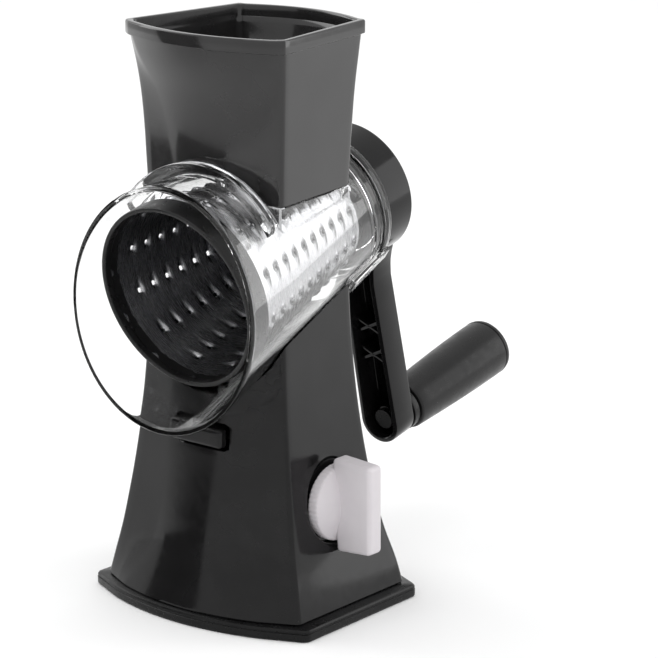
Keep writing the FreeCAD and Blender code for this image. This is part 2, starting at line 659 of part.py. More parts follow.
NODES = {
    "base_plate": base_plate,
    "suction_pad": suction_pad,
    "base_screws": base_screws,
    "base_shell": base_shell,
    "release_latch": release_latch,
    "latch_pin": latch_pin,
    "cam_bracket": cam_bracket,
    "bracket_screws": bracket_screws,
    "cam_shaft": cam_shaft,
    "shaft_clip": shaft_clip,
    "shaft_bush": shaft_bush,
    "suction_cam": suction_cam,
    "pull_stud": pull_stud,
    "cam_follower": cam_follower,
    "return_spring": return_spring,
    "suction_knob": suction_knob,
    "barrel_housing": barrel_housing,
    "hopper": hopper,
    "barrel_bush": barrel_bush,
    "drum_cone": drum_cone,
    "drum_front_ring": drum_front_ring,
    "drum_hub": drum_hub,
    "drive_spindle": drive_spindle,
    "crank_cup": crank_cup,
    "crank_arm": crank_arm,
    "spindle_screw": spindle_screw,
    "hub_cap": hub_cap,
    "grip_pin": grip_pin,
    "grip_collar": grip_collar,
    "grip_sleeve": grip_sleeve,
    "grip_cap": grip_cap,
}

os.makedirs("parts", exist_ok=True)
for node, make in NODES.items():
    shape = make()
    solids = shape.Solids
    box_now = shape.BoundBox
    print("%-18s solids %2d valid %s volume %9.1f  x %.1f..%.1f y %.1f..%.1f z %.1f..%.1f" % (
        node, len(solids), shape.isValid(), shape.Volume, box_now.XMin, box_now.XMax,
        box_now.YMin, box_now.YMax, box_now.ZMin, box_now.ZMax))
    save(shape, node)
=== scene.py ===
# %% [markdown]
# # A hand-cranked rotary grater
#
# The grater stands on a suction foot.  A waisted tower carries a clear conical barrel that leans
# down towards its mouth, a hopper feeds it from above, and a crank behind turns a steel drum in it.
# The engineering model gives every place and size.  This lesson dresses it for a picture: each
# visible moulding becomes a rounded surface worked out with numpy, and each finish becomes a small
# network of nodes.  Lengths in the lesson are millimetres until a mesh is made.

# %% Load the frame
import math

import bmesh
import bpy
import numpy as np
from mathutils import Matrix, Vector


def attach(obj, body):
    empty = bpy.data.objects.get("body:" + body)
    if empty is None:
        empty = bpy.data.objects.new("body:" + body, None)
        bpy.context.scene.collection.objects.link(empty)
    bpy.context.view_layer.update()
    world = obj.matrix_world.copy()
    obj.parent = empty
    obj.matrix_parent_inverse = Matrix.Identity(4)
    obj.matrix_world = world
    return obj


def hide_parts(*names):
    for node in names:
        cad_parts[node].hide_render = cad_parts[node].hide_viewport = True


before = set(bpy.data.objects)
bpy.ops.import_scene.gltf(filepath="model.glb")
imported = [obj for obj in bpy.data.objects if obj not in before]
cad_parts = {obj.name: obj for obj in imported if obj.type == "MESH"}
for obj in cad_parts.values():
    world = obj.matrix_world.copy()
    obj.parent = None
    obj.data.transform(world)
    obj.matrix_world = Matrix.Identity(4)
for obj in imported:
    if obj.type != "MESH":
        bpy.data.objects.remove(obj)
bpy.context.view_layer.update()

MM = 0.001

# %% [markdown]
# ## The camera
#
# The camera stands in front of the grater, to its right and a little above it.  A long lens keeps
# upright edges nearly parallel, as in a catalogue picture.  The camera is aimed a little to the
# right of the grater, which leaves room on that side without shifting the lens.

# %% Camera
CAMERA_TURN = math.radians(40.842)
CAMERA_PITCH = math.radians(14.538)
CAMERA_DISTANCE, CAMERA_HEIGHT = 1.4161, 0.5029
LENS_MM = 174.4
AIM_RIGHT, AIM_DOWN = 0.0232, 0.0061


def add_object(name, data):
    """New data becomes an object at the origin."""
    thing = bpy.data.objects.new(name, data)
    bpy.context.collection.objects.link(thing)
    return thing


def set_camera():
    """Aim along a pitch below the horizon, then turn by small shares of the right and up axes."""
    sin_a, cos_a = math.sin(CAMERA_TURN), math.cos(CAMERA_TURN)
    back = np.array([sin_a * math.cos(CAMERA_PITCH), -cos_a * math.cos(CAMERA_PITCH),
                     math.sin(CAMERA_PITCH)])
    right = np.array([cos_a, sin_a, 0.0])
    up = np.cross(back, right)
    aim = -back + AIM_RIGHT * right - AIM_DOWN * up
    data = bpy.data.cameras.new("catalogue_camera")
    data.lens = LENS_MM
    camera = add_object("catalogue_camera", data)
    camera.location = (CAMERA_DISTANCE * sin_a, -CAMERA_DISTANCE * cos_a, CAMERA_HEIGHT)
    camera.rotation_euler = Vector(aim).to_track_quat("-Z", "Y").to_euler()
    bpy.context.scene.camera = camera
    return camera


print("camera at", [round(v, 3) for v in set_camera().location])

# %% [markdown]
# ## Nodes for the finishes
#
# A finish is a Principled shader with its colour and roughness gently broken up by noise, and a
# fine bump for the grain of the mould.  Noise reads Object coordinates, so a pattern stays on its
# piece when the piece moves.  Anything that is the same all over is set on the shader itself.

# %% Node helpers
def new_finish(name):
    """A material with an empty Principled shader; returns its tree, shader and coordinates."""
    material = bpy.data.materials.new(name)
    material.use_nodes = True
    tree = material.node_tree
    shader = tree.nodes["Principled BSDF"]
    place = tree.nodes.new("ShaderNodeTexCoord")
    return material, tree, shader, place.outputs["Object"]


def fill(tree, node, inputs):
    """Set each named input: a socket is linked, anything else is a plain value."""
    for name, value in inputs.items():
        if isinstance(value, bpy.types.NodeSocket):
            tree.links.new(value, node.inputs[name])
        else:
            node.inputs[name].default_value = value
    return node


def noise(tree, vector, scale, detail=2.0, roughness=0.5):
    """Noise of a number of cells to the metre."""
    node = tree.nodes.new("ShaderNodeTexNoise")
    fill(tree, node, {"Scale": scale, "Detail": detail, "Roughness": roughness, "Vector": vector})
    return node.outputs["Fac"]


def spread(tree, value, low, high, start=0.35, end=0.65):
    """Map a middling noise value to a span from low to high."""
    node = tree.nodes.new("ShaderNodeMapRange")
    fill(tree, node, {"Value": value, "From Min": start, "From Max": end, "To Min": low, "To Max": high})
    return node.outputs["Result"]


def two_tone(tree, value, first, second):
    """Colour between two tones; the first may be a socket."""
    node = tree.nodes.new("ShaderNodeMix")
    node.data_type = "RGBA"
    if not isinstance(first, bpy.types.NodeSocket):
        first = (*first, 1)
    fill(tree, node, {"Factor": value, "A": first, "B": (*second, 1)})
    return node.outputs["Result"]


def bump(tree, height, strength, distance, below=None):
    """A bump of a height field; distance in metres."""
    node = tree.nodes.new("ShaderNodeBump")
    fill(tree, node, {"Strength": strength, "Distance": distance, "Height": height})
    if below is not None:
        fill(tree, node, {"Normal": below})
    return node.outputs["Normal"]


def turned_coordinates(tree, vector, origin, tilt, scale):
    """Coordinates along the barrel's slanted axis, scaled on each axis."""
    node = tree.nodes.new("ShaderNodeMapping")
    node.vector_type = "TEXTURE"
    fill(tree, node, {"Location": origin, "Rotation": (tilt, 0, 0), "Scale": [1 / v for v in scale],
                      "Vector": vector})
    return node.outputs["Vector"]


# %% [markdown]
# ### Moulded plastics
#
# The tower and hopper are polished black ABS: almost black, with mirror-like softbox reflections
# that wander slightly because a moulding is never quite flat.  The hopper's copy of the black is
# painted a little lighter, a painted highlight for the brighter light its walls catch.  The foot,
# drum ring and arm come from satin tools, so their gloss is broken by a fine grain.  One function
# covers them all.

# %% Plastic finishes
def plastic(name, tone, other_tone, rough_low, rough_high, grain, grain_depth, wander, shine=0.5,
            coat=0.0, glow=0.0):
    """Moulded plastic: cloudy tone, wiped gloss, mould grain, and a slow wander of the surface."""
    material, tree, shader, place = new_finish(name)
    cloud = spread(tree, noise(tree, place, 55, 3), 0, 1)
    slow = bump(tree, noise(tree, place, 28, 1), wander, 0.0006)
    fill(tree, shader, {
        "Base Color": two_tone(tree, cloud, tone, other_tone),
        "Roughness": spread(tree, noise(tree, place, 240, 4), rough_low, rough_high),
        "Normal": bump(tree, noise(tree, place, grain, 2), grain_depth, 0.00006, slow),
        "Specular IOR Level": shine, "Coat Weight": coat, "Coat Roughness": 0.05,
        "Subsurface Weight": glow, "Subsurface Radius": (0.002, 0.0018, 0.0017)})
    return material


black_gloss = plastic("black_gloss_abs", (0.0050, 0.0049, 0.0051), (0.0080, 0.0078, 0.0081),
                      0.09, 0.15, 1500, 0.06, 0.10, 0.24)
# painted light: the hopper's black is lighter than the tower's, standing in for the brighter light it
# catches
hopper_gloss_painted_lighter = plastic("black_gloss_hopper_painted_lighter", (0.014, 0.0135, 0.0138), (0.018, 0.0175, 0.0178),
                       0.10, 0.15, 1500, 0.06, 0.08, 0.40, 0.20)
black_satin = plastic("black_satin_nylon", (0.0060, 0.0060, 0.0062), (0.0090, 0.0088, 0.0090),
                      0.26, 0.38, 2600, 0.30, 0.10, 0.28)
foot_black = plastic("foot_black_pp", (0.0040, 0.0040, 0.0042), (0.0065, 0.0065, 0.0068),
                     0.24, 0.34, 2200, 0.25, 0.08, 0.20)
knob_grey = plastic("knob_warm_grey", (0.610, 0.578, 0.602), (0.650, 0.620, 0.642),
                    0.34, 0.42, 1900, 0.16, 0.05, 0.35, glow=0.10)
nylon = plastic("natural_nylon", (0.62, 0.61, 0.56), (0.70, 0.69, 0.64),
                0.36, 0.48, 2400, 0.20, 0.05, 0.5, glow=0.2)
soft_rubber = plastic("suction_rubber", (0.020, 0.020, 0.021), (0.032, 0.031, 0.031),
                      0.55, 0.70, 3200, 0.50, 0.12, 0.3)
print("plastics:", black_gloss.name, black_satin.name, foot_black.name, knob_grey.name)

# %% [markdown]
# ### Steel
#
# The drum is rolled sheet with a fine brushing that runs round it, so the noise is stretched round
# the axis and packed tightly along it.  Fasteners are brighter and only lightly turned.

# %% Steel finishes
AXIS_TILT = math.radians(13.0)
AXIS_Z = 164.4
COS, SIN = math.cos(AXIS_TILT), math.sin(AXIS_TILT)


def steel(name, tone, other_tone, rough_low, rough_high, lines, depth, dark=None):
    """Metal with brushing round the drum's axis, with painted shade mixed in where the mesh's crease
    attribute marks it.
    """
    material, tree, shader, place = new_finish(name)
    along = turned_coordinates(tree, place, (0, 0, AXIS_Z * MM), AXIS_TILT - math.pi / 2,
                               (0.05, 0.05, 1.0))
    streak = noise(tree, along, lines, 3, 0.65)
    cloud = spread(tree, noise(tree, place, 90, 2), 0, 1)
    colour = two_tone(tree, cloud, tone, other_tone)
    if dark is not None:
        # painted shade: the crease attribute mixes the colour towards the near-black tone
        crease = tree.nodes.new("ShaderNodeAttribute")
        crease.attribute_name = "crease"
        colour = two_tone(tree, crease.outputs["Fac"], colour, dark)
    fill(tree, shader, {"Base Color": colour, "Roughness": spread(tree, streak, rough_low, rough_high),
                        "Normal": bump(tree, streak, depth, 0.00003), "Metallic": 1.0})
    return material


# the last tone is the painted shade for the drum's ridges, holes and lining
drum_steel = steel("brushed_drum_steel", (0.53, 0.53, 0.548), (0.59, 0.59, 0.602),
                   0.20, 0.32, 3000, 0.25, (0.03, 0.03, 0.033))
bright_metal = steel("bright_screw_steel", (0.62, 0.62, 0.63), (0.70, 0.70, 0.71),
                     0.18, 0.28, 5200, 0.2)
print("metals:", drum_steel.name, bright_metal.name)

# %% [markdown]
# ### Clear plastic
#
# The barrel is injection-moulded clear plastic.  It is left almost perfectly smooth and gets real
# wall thickness from its mesh, so it bends what is seen through it.  A faint flow of the melt
# wanders across it.

# %% Clear finish
def clear_plastic():
    """Clear plastic: full transmission, an even low roughness and a slow flow of the melt."""
    material, tree, shader, place = new_finish("clear_barrel_plastic")
    flow = noise(tree, place, 22, 2)
    fill(tree, shader, {
        "Base Color": two_tone(tree, spread(tree, flow, 0, 1), (0.985, 0.99, 0.99), (1, 1, 1)),
        "Roughness": spread(tree, noise(tree, place, 300, 3), 0.0, 0.03),
        "Normal": bump(tree, flow, 0.05, 0.0004), "Transmission Weight": 1.0, "IOR": 1.47})
    return material


clear_barrel = clear_plastic()
print("clear plastic:", clear_barrel.name)

# %% [markdown]
# ## From a grid of points to a piece
#
# Every moulding below is a grid: rows of points, each row one ring round the piece.  A cell of the
# grid is one four-sided face.  Rings can join up round the piece, the last row can join the first,
# and an end can be closed with one flat face.  Pieces are written in millimetres and scaled when
# the mesh is made, so the object itself stays unmoved and unscaled.

# %% Grid helpers
def skin(points, around=True, along=False, first=False, last=False, keep=None):
    """Faces of a grid: cell (i, j) joins points (i, j), (i, j+1), (i+1, j+1) and (i+1, j).

    around wraps the columns, along wraps the rows, first and last close an end with one face, and
    keep is a table that says which cells are made.
    """
    rows, columns = points.shape[:2]
    i, j = np.meshgrid(np.arange(rows if along else rows - 1),
                       np.arange(columns if around else columns - 1), indexing="ij")
    i_next, j_next = (i + 1) % rows, (j + 1) % columns
    cells = np.stack([i * columns + j, i * columns + j_next, i_next * columns + j_next,
                      i_next * columns + j], axis=-1)
    if keep is not None:
        cells = cells[keep[:cells.shape[0], :cells.shape[1]]]
    faces = cells.reshape(-1, 4).tolist()
    if first:
        faces.append(list(range(columns))[::-1])
    if last:
        faces.append(list(range((rows - 1) * columns, rows * columns)))
    return points.reshape(-1, 3), faces


def make_piece(name, skins, body, finish, stands_for=(), sharp=32.0, crease=None):
    """Join skins into one mesh in metres, merge their seams, face it outwards and seat it."""
    points, faces, count = [], [], 0
    for part_points, part_faces in skins:
        points.append(part_points)
        faces += [[k + count for k in face] for face in part_faces]
        count += len(part_points)
    mesh = bpy.data.meshes.new(name)
    mesh.from_pydata((np.concatenate(points) * MM).tolist(), [], faces)
    # crease carries painted shade, kept as a point attribute for the finish
    if crease is not None:
        marks = np.zeros(len(mesh.vertices))
        marks[:crease.size] = crease.ravel()
        mesh.attributes.new("crease", "FLOAT", "POINT").data.foreach_set("value", marks)
    work = bmesh.new()
    work.from_mesh(mesh)
    bmesh.ops.remove_doubles(work, verts=work.verts, dist=0.002 * MM)
    bmesh.ops.dissolve_degenerate(work, edges=work.edges, dist=0.001 * MM)
    bmesh.ops.recalc_face_normals(work, faces=work.faces)
    work.to_mesh(mesh)
    work.free()
    piece = add_object(name, mesh)
    mesh.shade_smooth()
    mesh.set_sharp_from_angle(angle=math.radians(sharp))
    mesh.materials.append(finish)
    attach(piece, body)
    if stands_for:
        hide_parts(*stands_for)
    print(f"{name}: {len(mesh.polygons)} faces on {body}")
    return piece


def lay_on_axis(points):
    """Local Z becomes the distance behind the axis's zero, and local Y points up from the axis."""
    x, y, z = points[..., 0], points[..., 1], points[..., 2]
    return np.stack([x, z * COS - y * SIN, AXIS_Z + z * SIN + y * COS], axis=-1)


def turned(profile, columns=96):
    """Spin a profile of (radius, distance) rows about Z: x = r cos a, y = r sin a."""
    profile = np.asarray(profile, float)
    a = np.linspace(0, 2 * np.pi, columns, endpoint=False)
    r, z = profile[:, :1], profile[:, 1:]
    return np.stack([r * np.cos(a), r * np.sin(a), z + 0 * a], axis=-1)


def rounded_profile(corners, radius, steps=4):
    """Soften a profile: each corner C becomes the curve (1-t)^2 P + 2t(1-t) C + t^2 Q.

    P and Q lie on the neighbouring edges, a radius from C or a third of the edge if that is less.
    """
    corners = np.asarray(corners, float)
    middle, before, after = corners[1:-1], corners[:-2], corners[2:]
    t = np.linspace(0, 1, steps + 1)[None, :, None]

    def towards(other):
        way = other - middle
        length = np.maximum(np.linalg.norm(way, axis=1, keepdims=True), 1e-9)
        return middle + way / length * np.minimum(radius, length / 3)

    p, q = towards(before)[:, None], towards(after)[:, None]
    curve = (1 - t) ** 2 * p + 2 * t * (1 - t) * middle[:, None] + t ** 2 * q
    return np.concatenate([corners[:1], curve.reshape(-1, 2), corners[-1:]])


def rounded_block(low, high, radius, cuts=10):
    """Six faces of a block with rounded edges.

    A point p on the sharp block is pulled to c + r (p - c) / |p - c|, where c is p clamped to the
    block shrunk by r.
    """
    low, high = np.asarray(low, float), np.asarray(high, float)
    sides = []
    for axis in range(3):
        u, v = (axis + 1) % 3, (axis + 2) % 3
        stations = []
        for k in (u, v):
            bend = low[k] + radius * (1 - np.cos(np.linspace(0, np.pi / 2, cuts // 2 + 1)))
            rest = high[k] - (bend[::-1] - low[k])
            stations.append(np.concatenate([bend, np.linspace(bend[-1], rest[0], 6)[1:-1], rest]))
        uu, vv = np.meshgrid(*stations, indexing="ij")
        for side in (low, high):
            points = np.zeros(uu.shape + (3,))
            points[..., axis], points[..., u], points[..., v] = side[axis], uu, vv
            centre = np.clip(points, low + radius, high - radius)
            away = points - centre
            away /= np.maximum(np.linalg.norm(away, axis=-1, keepdims=True), 1e-9)
            sides.append(centre + radius * away)
    return sides


def dress(finish, *nodes):
    """Give engineering nodes that stay a finish."""
    for node in nodes:
        for material_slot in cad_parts[node].material_slots:
            material_slot.material = finish


# %% [markdown]
# ## The plan of the tower and the hopper
#
# Tower, hopper and foot share one plan: straight sides, and a front and back made of a bowed panel
# between two creases.  Six measures describe it, and they change with height.  Each side of the
# plan is a straight line plus a bow, and a small curve joins neighbouring sides, because a sharp
# mould edge would not catch the light.

# %% Plan outlines
SIDE_POINTS = (6, 26, 6, 22, 6, 26, 6, 22)
CORNER_POINTS = 4
INSET_SHARE = np.array([1, 1, 1, 0.4, 1, 1])
SIDE_START = np.cumsum([0] + [n + CORNER_POINTS for n in SIDE_POINTS])[:-1]
FRONT_PANEL, RIGHT_SIDE = 1, 3


def plan(sections, inset=0.0, back=1.0, corner=2.2, crease=1.6):
    """Outlines, one row for each section of six measures.

    A point of a side is A + (B - A) t + 4 t (1 - t) bow; a corner is the curve
    (1-t)^2 P + 2t(1-t) C + t^2 Q.  The rear repeats the front, narrowed and scaled by back.
    """
    sections = np.atleast_2d(sections)
    wf, d, wb, w1, near, far = (sections - np.reshape(inset, (-1, 1)) * INSET_SHARE).T
    wr = w1 * wb / wf
    corners = np.stack([
        np.stack([-wf, -d], -1), np.stack([-w1, -near], -1), np.stack([w1, -near], -1),
        np.stack([wf, -d], -1), np.stack([wb, d], -1), np.stack([wr, near * back], -1),
        np.stack([-wr, near * back], -1), np.stack([-wb, d], -1)])
    softness = (corner, crease, crease, corner) * 2
    bow = np.zeros_like(corners)
    bow[1, :, 1] = -(far - near)
    bow[5, :, 1] = (far - near) * back
    sides = []
    for k, count in enumerate(SIDE_POINTS):
        a, b = corners[k], corners[(k + 1) % 8]
        length = np.linalg.norm(b - a, axis=-1)[:, None]
        start, end = softness[k] / length, 1 - softness[(k + 1) % 8] / length
        t = (start + (end - start) * np.linspace(0, 1, count))[..., None]
        sides.append(a[:, None] + (b - a)[:, None] * t + 4 * t * (1 - t) * bow[k][:, None])
    rows = []
    t = np.linspace(0, 1, CORNER_POINTS + 2)[1:-1][None, :, None]
    for k in range(8):
        p, q, c = sides[k][:, -1:], sides[(k + 1) % 8][:, :1], corners[(k + 1) % 8][:, None]
        rows += [sides[k], (1 - t) ** 2 * p + 2 * t * (1 - t) * c + t ** 2 * q]
    return np.concatenate(rows, axis=1)


def plan_rows(section, profile, back, corner, crease):
    """One outline for each (inset, height) row of a profile, lifted to that height."""
    flat = plan(np.repeat([section], len(profile), 0), profile[:, 0], back, corner, crease)
    heights = np.broadcast_to(profile[:, 1][:, None, None], flat.shape[:2] + (1,))
    return np.concatenate([flat, heights], -1)


def section_at(table, z):
    """Measures at a height: a cubic between tabled heights that leaves each at its mean slope."""
    heights, values = table[:, 0], table[:, 1:]
    slopes = np.gradient(values, heights, axis=0)
    z = np.clip(z, heights[0], heights[-1])
    k = np.clip(np.searchsorted(heights, z) - 1, 0, len(heights) - 2)
    step = (heights[k + 1] - heights[k])[..., None]
    t = ((z - heights[k]) / (heights[k + 1] - heights[k]))[..., None]
    return ((2 * t ** 3 - 3 * t ** 2 + 1) * values[k] + (t ** 3 - 2 * t ** 2 + t) * step * slopes[k]
            + (3 * t ** 2 - 2 * t ** 3) * values[k + 1] + (t ** 3 - t ** 2) * step * slopes[k + 1])


def upright_wall(table, inset=0.0, back=1.0):
    """A wall as a function of height: points of every column at the heights asked for."""
    levels = np.linspace(table[0, 0], table[-1, 0], 160)
    outlines = plan(section_at(table, levels), inset, back)
    column = np.arange(outlines.shape[1])

    def at(z):
        z = np.atleast_2d(z) + np.zeros(len(column))
        place = np.clip((z - levels[0]) / (levels[1] - levels[0]), 0, len(levels) - 1.001)
        k = place.astype(int)
        share = (place - k)[..., None]
        flat = outlines[k, column] * (1 - share) + outlines[k + 1, column] * share
        return np.concatenate([flat, z[..., None]], axis=-1)

    return at


# %% [markdown]
# ## Where the upright walls meet the barrel
#
# The tower ends in a saddle under the barrel and the hopper's foot is cut to sit on it.  A vertical
# line through (x, y) crosses the barrel's cone at the roots of a quadratic, which gives every
# column of a wall its own end height.

# %% Barrel cone
MOUTH_S, MOUTH_R, REAR_S, REAR_R = -66.0, 54.0, 57.5, 33.6
BARREL_WALL = 2.2
SHRINK = (MOUTH_R - REAR_R) / (REAR_S - MOUTH_S)
R_ZERO = MOUTH_R + SHRINK * MOUTH_S


def cone_height(x, y, grow, upper):
    """Height at which the line through (x, y) leaves the cone of radius R0 + grow - k s.

    With q the height above the axis's zero, x^2 + (q cos - y sin)^2 = (A - k (y cos + q sin))^2.
    """
    reach = R_ZERO + grow - SHRINK * y * COS
    a = COS ** 2 - (SHRINK * SIN) ** 2
    b = -2 * COS * SIN * y + 2 * reach * SHRINK * SIN
    c = (y * SIN) ** 2 + x ** 2 - reach ** 2
    root = np.sqrt(np.maximum(b * b - 4 * a * c, 0))
    return AXIS_Z + (-b + (root if upper else -root)) / (2 * a)


def end_height(wall, guess, grow, upper, limit):
    """Each column's end height, found by walking the wall to the cone a few times."""
    z = guess + np.zeros(wall(guess).shape[1])
    for _ in range(6):
        points = wall(z)[0]
        cone = cone_height(points[:, 0], points[:, 1], grow, upper)
        z = np.maximum(cone, limit) if upper else np.minimum(cone, limit)
    return z


def ring_of(points, rows, columns):
    """Border of a block of cells, anticlockwise as seen from outside."""
    (i0, i1), (j0, j1) = rows, columns
    return np.concatenate([points[i0, j0:j1], points[i0:i1, j1], points[i1, j0 + 1:j1 + 1][::-1],
                           points[i0 + 1:i1 + 1, j0][::-1]])


# %% [markdown]
# ## The tower
#
# The tower is one hollow moulding.  Its outer and inner walls are two grids over the same plan, a
# rounded lip joins them along the saddle, and a second one joins them above the foot.  The knob
# sits in a shallow round dish and the release latch in a window, so two blocks of cells are left
# out of the grid and filled with rings that lead from the block's border to the opening.

# %% Tower tables
WALL = 2.5
TOWER = np.array([
    (6.3, 58.6, 38.8, 57.4, 41.6, 47.4, 55.0),
    (18.0, 55.9, 37.4, 54.4, 33.8, 44.4, 50.0),
    (31.0, 53.0, 35.6, 49.6, 27.0, 41.6, 45.6),
    (46.0, 50.4, 33.8, 45.4, 23.8, 39.6, 42.6),
    (61.0, 48.0, 32.2, 42.4, 22.2, 37.8, 40.2),
    (95.0, 43.6, 29.8, 37.2, 21.0, 34.8, 36.4),
    (124.0, 41.8, 28.8, 34.4, 21.0, 33.0, 34.2),
    (160.4, 40.8, 28.4, 32.6, 21.0, 32.4, 33.4)])
KNOB_Z, RECESS_X, RECESS_R = 53.5, 44.0, 19.2
LATCH_Z, LATCH_HALF, LATCH_HEIGHT = 85.4, 15.6, 6.2
SADDLE_GAP, CROWN_RISE, KNOB_CLEARANCE = 0.3, 0.6, 5.0
# share of the way across the wall, and rise
CROWN = ((0.0, 0), (0.05, 0.3), (0.2, CROWN_RISE), (0.8, CROWN_RISE), (0.95, 0.3), (1.0, 0))
# radius and depth of the dish's lip, then radius and height over the recess's floor
DISH_LIP = ((22.4, 0.0), (20.6, 0.0), (20.0, 0.12), (19.6, 0.45), (19.4, 1.0))
RECESS = ((RECESS_R, 0.7), (18.9, 0.15), (18.2, 0.0), (12.0, 0.0), (5.2, 0.0))
LEVELS = np.concatenate([[6.3, 6.9, 8.2], np.linspace(10, 29, 9), np.linspace(31.5, 75.5, 19),
                         np.linspace(77.5, 93.3, 7), [95.5]])
print("tower sections:", len(TOWER), "levels below the saddle:", len(LEVELS))


# %% Tower mesh
def side_x(y, z):
    """The right side's plane: x runs evenly from the front corner to the rear one."""
    wf, d, wb = np.moveaxis(section_at(TOWER, z)[..., :3], -1, 0)
    return wf + (wb - wf) * (y + d) / (2 * d)


def front_y(x, z, inset=0.0):
    """The front panel: y = -(near + (far - near) (1 - (x / w)^2))."""
    w, near, far = np.moveaxis(section_at(TOWER, z)[..., 3:], -1, 0)
    return -(near + (far - near) * (1 - (x / w) ** 2)) + inset


def rows_near(low, high):
    """Numbers of the levels nearest two heights."""
    return tuple(int(np.argmin(abs(LEVELS - z))) for z in (low, high))


def knob_dish(shell, rows, columns):
    """Rings from the block's border to a round lip on the side's plane, then down to the recess."""
    border = ring_of(shell, rows, columns)
    angle = np.arctan2(border[:, 2] - KNOB_Z, border[:, 1])
    rings = [border]
    for r, depth in DISH_LIP:
        y, z = r * np.cos(angle), KNOB_Z + r * np.sin(angle)
        rings.append(np.stack([side_x(y, z) - depth, y, z], -1))
    rings[1] = rings[1] * 0.6 + border * 0.4
    rings[1][:, 0] = side_x(rings[1][:, 1], rings[1][:, 2])
    for r, over in RECESS:
        x = RECESS_X + over + 0 * angle
        rings.append(np.stack([x, r * np.cos(angle), KNOB_Z + r * np.sin(angle)], -1))
    return np.stack(rings)


def latch_window(shell, lining, rows, columns):
    """Rings through the wall, of reach (|cos a|^12 + |sin a|^12)^(-1/12) at bearing a."""
    front, behind = ring_of(shell, rows, columns), ring_of(lining, rows, columns)
    angle = np.arctan2((front[:, 2] - LATCH_Z) / LATCH_HEIGHT, front[:, 0] / LATCH_HALF)
    reach = (np.abs(np.cos(angle)) ** 12 + np.abs(np.sin(angle)) ** 12) ** (-1 / 12)
    x, z = LATCH_HALF * reach * np.cos(angle), LATCH_Z + LATCH_HEIGHT * reach * np.sin(angle)
    mouth = np.stack([x * 1.02, front_y(x, z), LATCH_Z + (z - LATCH_Z) * 1.05], -1)
    return np.stack([front, mouth, np.stack([x, front_y(x, z, 0.4), z], -1),
                     np.stack([x, front_y(x, z, WALL), z], -1), behind])


def kept_cells(points, *blocks):
    """Every cell of a grid but those of the blocks."""
    keep = np.ones((points.shape[0] - 1, points.shape[1]), bool)
    for (i0, i1), (j0, j1) in blocks:
        keep[i0:i1, j0:j1] = False
    return keep


# %% Tower
def tower():
    """Outer and inner walls, saddle lip, foot lip, knob dish and latch window."""
    rise = 1 - (1 - np.linspace(0, 1, 20)[1:]) ** 1.3
    walls = []
    for wall in (upright_wall(TOWER), upright_wall(TOWER, WALL)):
        top = end_height(wall, 120.0, SADDLE_GAP, False, AXIS_Z - 4)
        upper = LEVELS[-1] + rise[:, None] * (top - CROWN_RISE - LEVELS[-1])
        walls.append(wall(np.concatenate([LEVELS[:, None] + 0 * top, upper])))
    shell, lining = walls
    shell[0, :, :2] -= 0.5 * np.sign(shell[0, :, :2]) * [1, 0.6]
    crown = np.stack([shell[-1] * (1 - q) + lining[-1] * q + [0, 0, lift] for q, lift in CROWN])
    ends = np.stack([lining[0], shell[0]])
    j0 = SIDE_START[RIGHT_SIDE] + 1
    dish = (rows_near(29.0, 78.0), (j0, j0 + SIDE_POINTS[RIGHT_SIDE] - 3))
    dish_rings = knob_dish(shell, *dish)
    # the lining steps inwards behind the dish
    near_knob = np.hypot(lining[..., 1], lining[..., 2] - KNOB_Z)
    lining[..., 0] -= np.clip((24.0 - near_knob) / 3.0, 0, 1) * (lining[..., 0] > 20) * KNOB_CLEARANCE
    j0 = SIDE_START[FRONT_PANEL] + 2
    window = (rows_near(77.5, 93.3), (j0, j0 + SIDE_POINTS[FRONT_PANEL] - 5))
    return [skin(shell, keep=kept_cells(shell, dish, window)),
            skin(lining[::-1], keep=kept_cells(lining, window)[::-1]), skin(crown), skin(ends),
            skin(dish_rings, last=True), skin(latch_window(shell, lining, *window))]


make_piece("tower_shell", tower(), "stand", black_gloss, ("base_shell",))

# %% [markdown]
# ## The hopper
#
# The hopper is a second hollow moulding on the same kind of plan.  Its front panel widens as it
# rises until the creases run out into the corners, and a flange turns outwards at the top.  One
# closed profile does it all: up the outside, out under the flange, over it, and down the inside.

# %% Hopper
HOPPER_Z, RIM_Z0 = 194.0, 264.0
HOPPER_WALL, REAR_BOW = 2.2, 0.908
HOPPER = np.array([
    (170.0, 40.4, 28.0, 32.6, 19.6, 30.6, 32.2),
    (194.0, 40.5, 28.2, 33.0, 19.6, 30.8, 32.4),
    (208.0, 41.0, 28.6, 33.8, 21.2, 31.2, 33.0),
    (222.0, 41.6, 28.9, 34.6, 23.5, 31.8, 34.2),
    (240.0, 42.8, 29.8, 35.6, 28.6, 33.6, 37.8),
    (256.0, 44.6, 31.4, 36.6, 38.0, 35.4, 42.8),
    (265.0, 45.9, 32.6, 37.0, 42.0, 35.6, 45.0)])
RIM = (47.0, 33.9, 37.8, 42.0, 37.4, 46.6)
# inset from the rim's outline, and height
RIM_LIP = np.array([(0.55, 263.7), (0.15, 263.85), (0.0, 264.35), (0.0, 269.1), (0.12, 269.6),
                    (0.45, 269.93), (0.9, 270.0), (2.1, 270.0), (2.55, 269.9), (2.85, 269.6),
                    (3.0, 269.1), (3.0, 264.6)])


